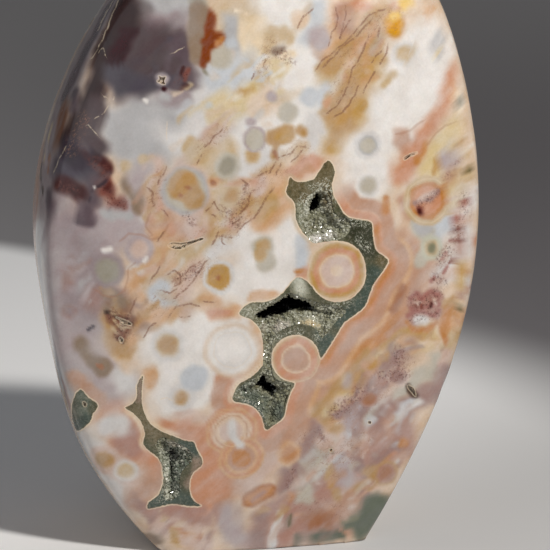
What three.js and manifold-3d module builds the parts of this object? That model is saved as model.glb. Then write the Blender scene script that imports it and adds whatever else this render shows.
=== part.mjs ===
// A polished ocean jasper freeform: one upright stone on a flat sawn base. Three open hollows
// in its front face are each lined by a crust of small quartz crystals.
// Millimetres, +Z up, front face towards -Y, origin on the base under the middle of the stone.
import * as THREE from "three";
import { mergeVertices } from "three/addons/utils/BufferGeometryUtils.js";
import Module from "manifold-3d";

const wasm = await Module();
wasm.setup();

// The stone is the space left inside a few lapidary cuts. Each cut is measured from the heart,
// a point inside the stone: the way it faces, how far it lies, and the radius of its dome.
const HEART = new THREE.Vector3(1.1, -1, 48.6);
const FLAT = Infinity;
const CUTS = [
  { name: "front face", facing: [0.02, -1, 0.05], reach: 20, dome: 170 },
  { name: "back face", facing: [0.05, 1, 0.05], reach: 22, dome: 150 },
  { name: "left flank", facing: [-1, 0, -0.066], reach: 41.3, dome: 80 },
  { name: "right flank", facing: [1, 0, -0.154], reach: 37.7, dome: 112 },
  { name: "left flat", facing: [-0.986, 0.05, -0.167], reach: 40.2, dome: FLAT },
  { name: "lower left facet", facing: [-0.77, 0.15, -0.635], reach: 47, dome: 400 },
  { name: "lower right facet", facing: [0.925, 0.1, -0.38], reach: 35.3, dome: 500 },
  { name: "top left", facing: [-0.35, 0, 1], reach: 65.5, dome: 90 },
  { name: "top right", facing: [0.45, 0, 1], reach: 61, dome: 90 },
  { name: "right front edge", facing: [0.8, -0.6, -0.1], reach: 38.3, dome: FLAT },
];
const CREASE = 34; // how crisp the polished edge between two cuts is
const AROUND = 56; // facets round the stone
const UP = 33; // facets from the base to the top

// A hollow has a basin under its rim, and one or two wells that go deeper. Outlines are x, z.
const HOLLOWS = [
  {
    name: "druzy_upper_hollow",
    basin: 3.6,
    samples: 32,
    rim: [
      [9.1, 66.5], [10.6, 65.3], [10.8, 63.6], [11.2, 62], [12.2, 61], [13.9, 60.5], [14, 58.6],
      [12.5, 57.3], [9, 56.8], [7.2, 56.8], [5.9, 58.7], [5.6, 61], [5.8, 63.2], [6.3, 64.7],
      [7.6, 65.6],
    ],
    wells: [
      {
        depth: 8,
        throat: [[8.2, 65], [9, 64.6], [9, 63], [7.7, 61.6], [6.9, 61.9], [7.2, 63.5]],
      },
    ],
  },
  {
    name: "druzy_central_hollow",
    basin: 4.5,
    samples: 66,
    rim: [
      [-3.2, 44.5], [-0.3, 46.4], [2.9, 48.2], [5.4, 47.3], [8.6, 46.1], [12, 45.2], [13.2, 44.2],
      [11, 42.2], [8.9, 39.8], [7.6, 41.6], [5, 42.5], [3, 42.1], [1, 41.2], [0, 39.6], [-0.2, 37.6],
      [-0.2, 35.5], [0.2, 33.4], [1.4, 32.4], [3.3, 31.6], [2.6, 29.2], [1.8, 26.8], [1.1, 24.8],
      [-0.7, 24.2], [-1.8, 27], [-3.1, 28.7], [-4.9, 29.8], [-6.5, 30.1], [-6.2, 31.3],
      [-4.6, 32.5], [-2.9, 33.4], [-1.9, 34.6], [-1.7, 36.6], [-1.7, 39.1], [-2.1, 41.6], [-2.9, 43],
    ],
    wells: [
      {
        depth: 13,
        throat: [
          [-1.9, 44.5], [-0.2, 45.4], [1.5, 46.3], [2.9, 46.9], [4, 46.3], [5.7, 45.9], [7, 45.3],
          [7.6, 44.5], [6.2, 44.1], [4, 44.3], [2.2, 43.6], [0.6, 43.4], [-1, 43.4],
        ],
      },
      {
        depth: 9,
        throat: [
          [-1.6, 32.9], [-0.9, 32.9], [-0.4, 32], [1.3, 30.7], [0.9, 29.9], [0.2, 28.6],
          [-0.3, 29.6], [-1.7, 30.8], [-3, 31.5],
        ],
      },
    ],
  },
  {
    name: "druzy_left_hollow",
    basin: 3.2,
    samples: 32,
    rim: [
      [-19.2, 22.8], [-16.7, 21.6], [-14.8, 20.5], [-14, 19.1], [-14.4, 17.8], [-15.8, 16.2],
      [-16.2, 14.2], [-16.3, 11.8], [-17.9, 10.5], [-19, 11.4], [-18.7, 13.7], [-19, 15.9],
      [-19.6, 18.3], [-20.2, 20.2], [-20.3, 21.9],
    ],
    wells: [
      {
        depth: 6,
        throat: [
          [-18.2, 20.4], [-17.2, 20.5], [-16.7, 19.4], [-17, 17.9], [-17, 15.1], [-17.3, 13],
          [-17.8, 13.1], [-18, 17.1],
        ],
      },
    ],
  },
];
const WELL_WALL = 1.2; // crust on the wall of a well
const WELL_START = 2.4; // a well widens behind the rim, this far under the polish
const GAP = 0.3; // between a crust and the stone
const LEDGE_UNDER_POLISH = 1.5;
const TIPS_UNDER_POLISH = 0.35;

const CRYSTAL = { radius: [0.6, 0.95], height: [1, 1.5], lean: 0.6, root: 0.5, spacing: 1.4 };
const CRYSTAL_SIDES = 6;

// Small open pits: centre x, z, half length, half width, depth and turn in degrees.
const PITS = [
  { name: "crater", at: [-18.1, 85.3], half: [1.1, 0.95], depth: 0.8, turn: 0 },
  { name: "long slit", at: [-15, 57.6], half: [3.2, 0.5], depth: 0.9, turn: 12 },
  { name: "short slit", at: [25.4, 71.4], half: [1.5, 0.35], depth: 0.6, turn: 16 },
  { name: "brown pocket", at: [-26.5, 43.8], half: [2.4, 1.5], depth: 0.7, turn: -12 },
  { name: "lower right pit", at: [25.5, 29.2], half: [0.5, 0.75], depth: 0.6, turn: 0 },
  { name: "left pit", at: [-32.7, 29.1], half: [0.8, 0.6], depth: 0.5, turn: 30 },
  { name: "sparkle pit", at: [3.5, 88.4], half: [1, 0.6], depth: 0.5, turn: 0 },
];

const COLOURS = {
  stone: { color: 0xc9a692, roughness: 0.12, metalness: 0 },
  crust: { color: 0x8d9c80, roughness: 0.45, metalness: 0 },
};

// Reach of one cut along a direction from the heart, as 1 / distance, 0 where it is never met.
function nearness(cut, direction) {
  const facing = new THREE.Vector3(...cut.facing).normalize();
  const along = facing.dot(direction);
  if (cut.dome === FLAT) return Math.max(along, 0) / cut.reach;
  const centre = cut.reach - cut.dome;
  const q = along * centre;
  return 1 / (q + Math.sqrt(q * q - centre * centre + cut.dome * cut.dome));
}

// Distance from the heart to the polished surface along a direction.
function surfaceReach(direction) {
  const sum = CUTS.reduce((total, cut) => total + nearness(cut, direction) ** CREASE, 0);
  return sum ** (-1 / CREASE);
}

// y of the polished front at x, z, found by halving.
function frontAt(x, z) {
  let outside = -60;
  let inside = HEART.y;
  for (let step = 0; step < 30; step++) {
    const middle = (outside + inside) / 2;
    const offset = new THREE.Vector3(x, middle, z).sub(HEART);
    const distance = offset.length();
    if (distance > surfaceReach(offset.normalize())) outside = middle;
    else inside = middle;
  }
  return inside;
}

function asSolid(geometry) {
  const bare = geometry.clone();
  bare.deleteAttribute("normal");
  bare.deleteAttribute("uv");
  const merged = mergeVertices(bare, 1e-4);
  return new wasm.Manifold(
    new wasm.Mesh({
      numProp: 3,
      vertProperties: new Float32Array(merged.attributes.position.array),
      triVerts: new Uint32Array(merged.index.array),
    }),
  );
}

function asGeometry(solid) {
  const mesh = solid.getMesh();
  const geometry = new THREE.BufferGeometry();
  geometry.setAttribute("position", new THREE.BufferAttribute(mesh.vertProperties, mesh.numProp));
  geometry.setIndex(new THREE.BufferAttribute(mesh.triVerts, 1));
  geometry.computeVertexNormals();
  return geometry;
}

// The polished body, or the same body with its skin moved in by inset.
function body(inset) {
  const geometry = new THREE.SphereGeometry(1, AROUND, UP).rotateX(Math.PI / 2);
  const position = geometry.attributes.position;
  const direction = new THREE.Vector3();
  for (let i = 0; i < position.count; i++) {
    direction.fromBufferAttribute(position, i).normalize();
    direction.multiplyScalar(surfaceReach(direction) - inset).add(HEART);
    position.setXYZ(i, direction.x, direction.y, direction.z);
  }
  const below = new THREE.BoxGeometry(200, 200, 100).translate(0, 0, -50);
  return asSolid(geometry).subtract(asSolid(below));
}

// A closed outline through the points, grown outwards by grow, as a flat shape in x, z.
function outlineShape(points, samples, grow) {
  const curve = new THREE.CatmullRomCurve3(
    points.map(([x, z]) => new THREE.Vector3(x, z, 0)),
    true,
    "centripetal",
  );
  const turning = THREE.ShapeUtils.area(points.map(([x, z]) => new THREE.Vector2(x, z)));
  const flat = [];
  for (let i = 0; i < samples; i++) {
    const at = curve.getPoint(i / samples);
    const along = curve.getTangent(i / samples);
    const outwards = new THREE.Vector2(along.y, -along.x).multiplyScalar(Math.sign(turning));
    flat.push(new THREE.Vector2(at.x, at.y).addScaledVector(outwards, grow));
  }
  return new THREE.Shape(flat);
}

// The outline as a block from y = front back to y = floor.
function block(shape, front, floor) {
  const geometry = new THREE.ExtrudeGeometry(shape, {
    depth: floor - front,
    bevelEnabled: false,
    curveSegments: 1,
  });
  return asSolid(geometry.rotateX(Math.PI / 2).translate(0, floor, 0));
}

// Repeatable numbers from 0 to 1.
function randomFrom(seed) {
  let state = seed;
  return () => {
    state = (state * 1664525 + 1013904223) % 4294967296;
    return state / 4294967296;
  };
}

function between([low, high], random) {
  return low + (high - low) * random();
}

// One six-sided quartz point whose root is at the place given.
function crystal(root, direction, random) {
  const radius = between(CRYSTAL.radius, random);
  const height = between(CRYSTAL.height, random) + CRYSTAL.root;
  const geometry = new THREE.ConeGeometry(radius, height, CRYSTAL_SIDES)
    .rotateY(random() * Math.PI)
    .translate(0, height / 2 - CRYSTAL.root, 0);
  const turn = new THREE.Quaternion().setFromUnitVectors(new THREE.Vector3(0, 1, 0), direction);
  return asSolid(geometry.applyQuaternion(turn).translate(root.x, root.y, root.z));
}

function isInside([x, z], outline) {
  let inside = false;
  outline.forEach(([ax, az], i) => {
    const [bx, bz] = outline[(i + 1) % outline.length];
    if (az > z !== bz > z && x < ((bx - ax) * (z - az)) / (bz - az) + ax) inside = !inside;
  });
  return inside;
}

// Places for crystals on the ledge between the rim and the wells, evenly but not in rows.
function ledgePlaces(hollow, random) {
  const xs = hollow.rim.map(([x]) => x);
  const zs = hollow.rim.map(([, z]) => z);
  const places = [];
  for (let z = Math.min(...zs); z < Math.max(...zs); z += CRYSTAL.spacing) {
    for (let x = Math.min(...xs); x < Math.max(...xs); x += CRYSTAL.spacing) {
      const place = [
        x + (random() - 0.5) * CRYSTAL.spacing,
        z + (random() - 0.5) * CRYSTAL.spacing,
      ];
      const onLedge = hollow.wells.every((well) => !isInside(place, well.throat));
      if (isInside(place, hollow.rim) && onLedge) places.push(place);
    }
  }
  return places;
}

// The space of a hollow, grown by grow: its basin and its wells.
function hollowSpace(hollow, grow, front) {
  const [x, z] = hollow.rim[0];
  const polish = frontAt(x, z);
  const basin = block(
    outlineShape(hollow.rim, hollow.samples, grow),
    front,
    polish + hollow.basin + grow,
  );
  return hollow.wells.reduce((space, well) => {
    const shape = outlineShape(well.throat, hollow.samples / 2, WELL_WALL + grow);
    return space.add(block(shape, polish + WELL_START - grow, polish + well.depth + grow));
  }, basin);
}

function throatSpace(hollow, well, front) {
  const [x, z] = hollow.rim[0];
  const floor = frontAt(x, z) + well.depth - GAP - WELL_WALL;
  return block(outlineShape(well.throat, hollow.samples / 2, 0), front, floor);
}

const FAR_FRONT = -40; // a y well in front of the stone

function crust(hollow, seed) {
  const random = randomFrom(seed);
  const space = hollowSpace(hollow, -GAP, FAR_FRONT);
  const lining = hollow.wells.reduce(
    (solid, well) => solid.subtract(throatSpace(hollow, well, FAR_FRONT)),
    space.intersect(body(LEDGE_UNDER_POLISH)),
  );
  const points = ledgePlaces(hollow, random).map(([x, z]) => {
    const root = new THREE.Vector3(x, frontAt(x, z) + LEDGE_UNDER_POLISH, z);
    const lean = () => (random() - 0.5) * 2 * CRYSTAL.lean;
    return crystal(root, new THREE.Vector3(lean(), -1, lean()).normalize(), random);
  });
  const grown = wasm.Manifold.union([lining, ...points]);
  const whole = grown.intersect(space).intersect(body(TIPS_UNDER_POLISH));
  return whole.decompose().sort((a, b) => b.volume() - a.volume())[0];
}

function pit({ at: [x, z], half: [long, wide], depth, turn }) {
  const geometry = new THREE.SphereGeometry(1, 12, 7)
    .scale(long, depth, wide)
    .rotateY(THREE.MathUtils.degToRad(-turn))
    .translate(x, frontAt(x, z), z);
  return asSolid(geometry);
}

function stone() {
  const hollowed = HOLLOWS.reduce(
    (solid, hollow) => solid.subtract(hollowSpace(hollow, 0, FAR_FRONT)),
    body(0),
  );
  return PITS.reduce((solid, each) => solid.subtract(pit(each)), hollowed);
}

function namedMesh(name, solid, colour) {
  const mesh = new THREE.Mesh(asGeometry(solid), new THREE.MeshStandardMaterial(colour));
  mesh.name = name;
  return mesh;
}

const freeform = new THREE.Group();
freeform.add(namedMesh("stone", stone(), COLOURS.stone));
HOLLOWS.forEach((hollow, i) => {
  freeform.add(namedMesh(hollow.name, crust(hollow, i + 1), COLOURS.crust));
});

export default freeform;
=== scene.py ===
"""A polished ocean jasper freeform, standing on its sawn base in soft studio light."""

import math
import random

import bmesh
import bpy
import numpy as np
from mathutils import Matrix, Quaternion, Vector, noise


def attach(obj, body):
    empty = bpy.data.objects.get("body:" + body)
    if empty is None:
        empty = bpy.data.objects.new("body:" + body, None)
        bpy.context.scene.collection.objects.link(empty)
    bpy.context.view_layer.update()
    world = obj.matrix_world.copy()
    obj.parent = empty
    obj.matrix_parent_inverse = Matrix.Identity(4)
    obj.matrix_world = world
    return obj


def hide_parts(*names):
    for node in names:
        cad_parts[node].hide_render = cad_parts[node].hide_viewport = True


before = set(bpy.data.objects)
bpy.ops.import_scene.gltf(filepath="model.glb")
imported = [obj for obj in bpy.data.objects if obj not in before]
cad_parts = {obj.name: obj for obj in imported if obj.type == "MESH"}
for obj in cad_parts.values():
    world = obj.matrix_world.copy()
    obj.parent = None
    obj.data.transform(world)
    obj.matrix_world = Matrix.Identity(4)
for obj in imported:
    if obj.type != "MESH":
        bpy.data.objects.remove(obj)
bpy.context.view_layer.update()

MM = 0.001

# The view: degrees round the stone and above it, millimetres, and the image that the marks were read in.
VIEW_AZIMUTH = -10.0
VIEW_ELEVATION = 12.5
VIEW_DISTANCE = 450.0
VIEW_TARGET = (3.95, -1.0, 47.0)
IMAGE_PIXELS = 550
IMAGE_WIDTH_MM = 100.0
PIXEL_MM = 0.175

# Lights: degrees round and up, distance and size in metres, watts and colour.
LIGHTS = {
    "key": (32.5, 43, 0.9, 0.08, 7.7, (1.0, 0.97, 0.93)),
    "fill": (-40, 25, 1.0, 0.9, 1.3, (0.92, 0.95, 1.0)),
}
WORLD_STRENGTH = 0.15

# The table: a pale round top on a dark floor, in metres. Its near right is painted darker: painted shade.
TABLE_CENTRE = (-0.384, -0.094)
TABLE_RADIUS = 0.5
FLOOR_RADIUS = 2.0
FLOOR_RIM = 0.45
PALE_FLOOR = (0.97, 0.965, 0.96, 1)
SHADED_NEAR_FLOOR = (0.56, 0.555, 0.55, 1)
DARK_FLOOR = (0.28, 0.27, 0.275, 1)
DARKEST_FLOOR = (0.15, 0.14, 0.145, 1)
FAR_FLOOR = (0.4, 0.385, 0.385, 1)

# The stone is the space left inside a few lapidary cuts, each measured from the heart, in millimetres:
# the way it faces, how far it lies from the heart, and the radius of its dome.
HEART = np.array([1.1, -1.0, 48.6])
FLAT = math.inf
CUTS = {
    "front face": ((0.02, -1, 0.05), 20.0, 170),
    "back face": ((0.05, 1, 0.05), 22.0, 150),
    "left flank": ((-1, 0, -0.066), 41.3, 80),
    "right flank": ((1, 0, -0.154), 37.7, 112),
    "left flat": ((-0.986, 0.05, -0.167), 40.2, FLAT),
    "lower left facet": ((-0.77, 0.15, -0.635), 47.0, 400),
    "lower right facet": ((0.925, 0.1, -0.38), 35.3, 500),
    "top left": ((-0.35, 0, 1), 65.5, 90),
    "top right": ((0.45, 0, 1), 61.0, 90),
    "right front edge": ((0.8, -0.6, -0.1), 38.3, FLAT),
}
CREASE = 34
POLISH_SCALE = 0.9985
BLOCK_MM = (80, 42, 111.5)
BLOCK_CUTS = (91, 23, 129)
BASE_BEVEL = 0.45

# Hollows: rim and throats are outlines in x, z millimetres on the front face.
HOLLOWS = {
    "druzy_upper_hollow": {
        "rim": [
            (9.1, 66.5), (10.6, 65.3), (10.8, 63.6), (11.2, 62), (12.2, 61), (13.9, 60.5), (14, 58.6),
            (12.5, 57.3), (9, 56.8), (7.2, 56.8), (5.9, 58.7), (5.6, 61), (5.8, 63.2), (6.3, 64.7),
            (7.6, 65.6),
        ],
        "wells": [
            (8, [(8.2, 65.2), (9, 64.9), (9, 63), (7.6, 61.6), (6.8, 62), (7.2, 63.5)]),
        ],
    },
    "druzy_central_hollow": {
        "rim": [
            (-3.2, 44.5), (-0.3, 46.4), (2.9, 48.2), (5.4, 47.3), (8.6, 46.1), (12, 45.2), (13.2, 44.2),
            (11, 42.2), (8.9, 39.8), (7.6, 41.6), (5, 42.5), (3, 42.1), (1, 41.2), (0, 39.6), (-0.2, 37.6),
            (-0.2, 35.5), (0.2, 33.4), (1.4, 32.4), (3.3, 31.6), (2.6, 29.2), (1.8, 26.8), (1.1, 24.8),
            (-0.7, 24.2), (-1.8, 27), (-3.1, 28.7), (-4.9, 29.8), (-6.5, 30.1), (-6.2, 31.3),
            (-4.6, 32.5), (-2.9, 33.4), (-1.9, 34.6), (-1.7, 36.6), (-1.7, 39.1), (-2.1, 41.6), (-2.9, 43),
        ],
        "wells": [
            (13, [
                (-2.7, 44.7), (-0.2, 45.8), (1.5, 46.8), (2.9, 47.7), (3.9, 47), (5.6, 46.7), (7, 45.9),
                (7.9, 44.7), (6.4, 44.5), (4, 44.6), (2.3, 43.8), (0.7, 43.6), (-1, 43.2), (-2.4, 43.7),
            ]),
            (9, [
                (-1.7, 33.4), (-0.9, 33.1), (-0.4, 32), (1.4, 30.7), (0.8, 30), (0.1, 28.5),
                (-0.1, 29.6), (-1.7, 30.8), (-3.2, 31.5), (-2.4, 32.3),
            ]),
        ],
    },
    "druzy_left_hollow": {
        "rim": [
            (-19.2, 22.8), (-16.7, 21.6), (-14.8, 20.5), (-14, 19.1), (-14.4, 17.8), (-15.8, 16.2),
            (-16.2, 14.2), (-16.3, 11.8), (-17.9, 10.5), (-19, 11.4), (-18.7, 13.7), (-19, 15.9),
            (-19.6, 18.3), (-20.2, 20.2), (-20.3, 21.9),
        ],
        "wells": [
            (2.9, [
                (-18.2, 20.4), (-17.1, 20.5), (-16.7, 19.4), (-17.1, 17.9), (-17, 15.1), (-17.4, 12.7),
                (-17.8, 13), (-18, 17.1),
            ]),
        ],
    },
}
LIP_DEPTH = 0.35
LEDGE_DEPTH = 1.7
SHEET_SPACING = 0.24
SHEET_THICKNESS = 0.5
CRYSTAL_SPACING = 0.36
CRYSTAL_RADIUS = (0.14, 0.3)

# Small pits in the polish: depth in millimetres, then the outline in photograph pixels.
PITS = [
    (0.5, [(159, 76), (162, 77.5), (165.5, 77), (164, 81), (165, 84), (161, 83.5), (157.5, 81), (159.5, 79)]),
    (0.35, [
        (168, 245), (173, 242.5), (180, 243), (187, 242), (195, 240), (202, 238), (203, 239.5),
        (196, 242), (190, 244.5), (184, 248), (177, 249), (171, 247.5),
    ]),
    (0.3, [(404, 158), (408, 155), (416, 152), (417, 153.5), (410, 156.5), (405, 160)]),
    (0.3, [(116, 317), (121, 319), (129, 322), (131, 325), (125, 324), (120, 324), (122, 321)]),
    (0.3, [(120, 337), (123, 339.5), (121.5, 343), (119.5, 341)]),
    (0.9, [(408, 385.5), (412, 387), (414.5, 390), (415.5, 396), (412.5, 393), (409, 389)]),
    (0.5, [(83, 402), (86, 403), (86, 406), (84, 406)]),
    (0.4, [(368.3, 421.3), (370.7, 421.3), (370.7, 423.7), (368.3, 423.7)]),
    (0.4, [(330, 449), (332, 449), (332, 451.5), (330, 451.5)]),
]

# Green chalcedony between the orbs, as outlines in photograph pixels.
GREENS = [
    [
        (328, 160), (335, 172), (332, 184), (334, 196), (341, 209), (348, 217), (361, 220), (371, 222),
        (373, 235), (376, 250), (384, 256), (388, 263), (375, 282), (370, 293), (365, 306), (356, 314),
        (344, 323), (336, 336), (327, 350), (321, 359), (318, 349), (312, 341), (303, 336), (294, 335),
        (284, 338), (277, 344), (272, 352), (271, 361), (274, 370), (281, 378), (289, 382), (295, 383),
        (290, 394), (287, 403), (283, 418), (275, 424), (266, 430), (262, 418), (256, 409), (247, 404),
        (233, 401), (234, 393), (238, 385), (246, 380), (254, 375), (264, 363), (268, 351), (267, 341),
        (262, 333), (258, 326), (250, 319), (239, 314), (249, 303), (264, 302), (279, 296), (290, 284),
        (298, 277), (309, 283), (316, 292), (325, 299), (336, 302), (348, 300), (358, 293), (364, 284),
        (366, 274), (365, 263), (361, 253), (354, 246), (346, 242), (338, 241), (327, 240), (314, 242),
        (306, 236), (301, 230), (296, 219), (295, 204), (290, 198), (286, 192), (288, 185), (290, 177),
        (297, 182), (312, 180), (316, 176),
    ],
    [
        (143, 375), (142, 388), (142, 403), (146, 417), (153, 426), (163, 432), (176, 437), (187, 441),
        (194, 442), (197, 450), (202, 459), (201, 466), (193, 473), (190, 481), (190, 492), (194, 501),
        (201, 506), (187, 506), (173, 504), (162, 506), (148, 509), (149, 502), (158, 495), (163, 482),
        (162, 467), (158, 458), (148, 450), (143, 443), (145, 434), (141, 422), (133, 413), (125, 408),
        (133, 403), (137, 396), (137, 385),
    ],
    [(79, 389), (88, 397), (98, 405), (93, 414), (90, 422), (78, 431), (73, 422), (72, 405)],
]

# The colours of the stone, as sRGB.
COLOURS = {
    "white": (222, 217, 212),
    "milk": (207, 203, 200),
    "ice": (192, 195, 199),
    "silver": (176, 174, 174),
    "cream": (222, 204, 178),
    "ash": (186, 179, 166),
    "pale lilac": (176, 163, 163),
    "lilac": (152, 138, 139),
    "lilac shade": (94, 80, 85),
    "rose": (172, 136, 124),
    "pale rose": (200, 177, 165),
    "mauve": (156, 130, 124),
    "flesh": (186, 151, 131),
    "salmon": (196, 148, 122),
    "peach": (202, 165, 132),
    "pale peach": (210, 188, 166),
    "orange": (186, 135, 94),
    "terracotta": (162, 116, 90),
    "ochre": (184, 149, 98),
    "tan": (180, 146, 105),
    "sand": (194, 172, 141),
    "straw": (207, 188, 150),
    "yellow": (224, 192, 122),
    "amber": (210, 156, 72),
    "rust": (126, 64, 36),
    "smoke": (82, 68, 70),
    "slate": (76, 70, 78),
    "ink": (44, 33, 42),
    "plum": (48, 32, 31),
    "blood": (46, 8, 14),
    "maroon": (64, 28, 26),
    "madder": (162, 114, 106),
    "brick": (122, 70, 60),
    "bark": (62, 43, 31),
    "taupe": (142, 123, 106),
    "grey green": (154, 148, 134),
    "sage": (128, 127, 104),
    "frost": (190, 190, 174),
    "jade": (100, 107, 94),
    "teal": (68, 82, 73),
    "moss": (84, 84, 62),
    "deep moss": (58, 60, 45),
    "olive": (108, 97, 70),
    "umber": (128, 88, 68),
    "pit brown": (84, 66, 48),
    # Painted shade deep in the crusts' wells.
    "well shade": (8, 7, 7),
}

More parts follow.
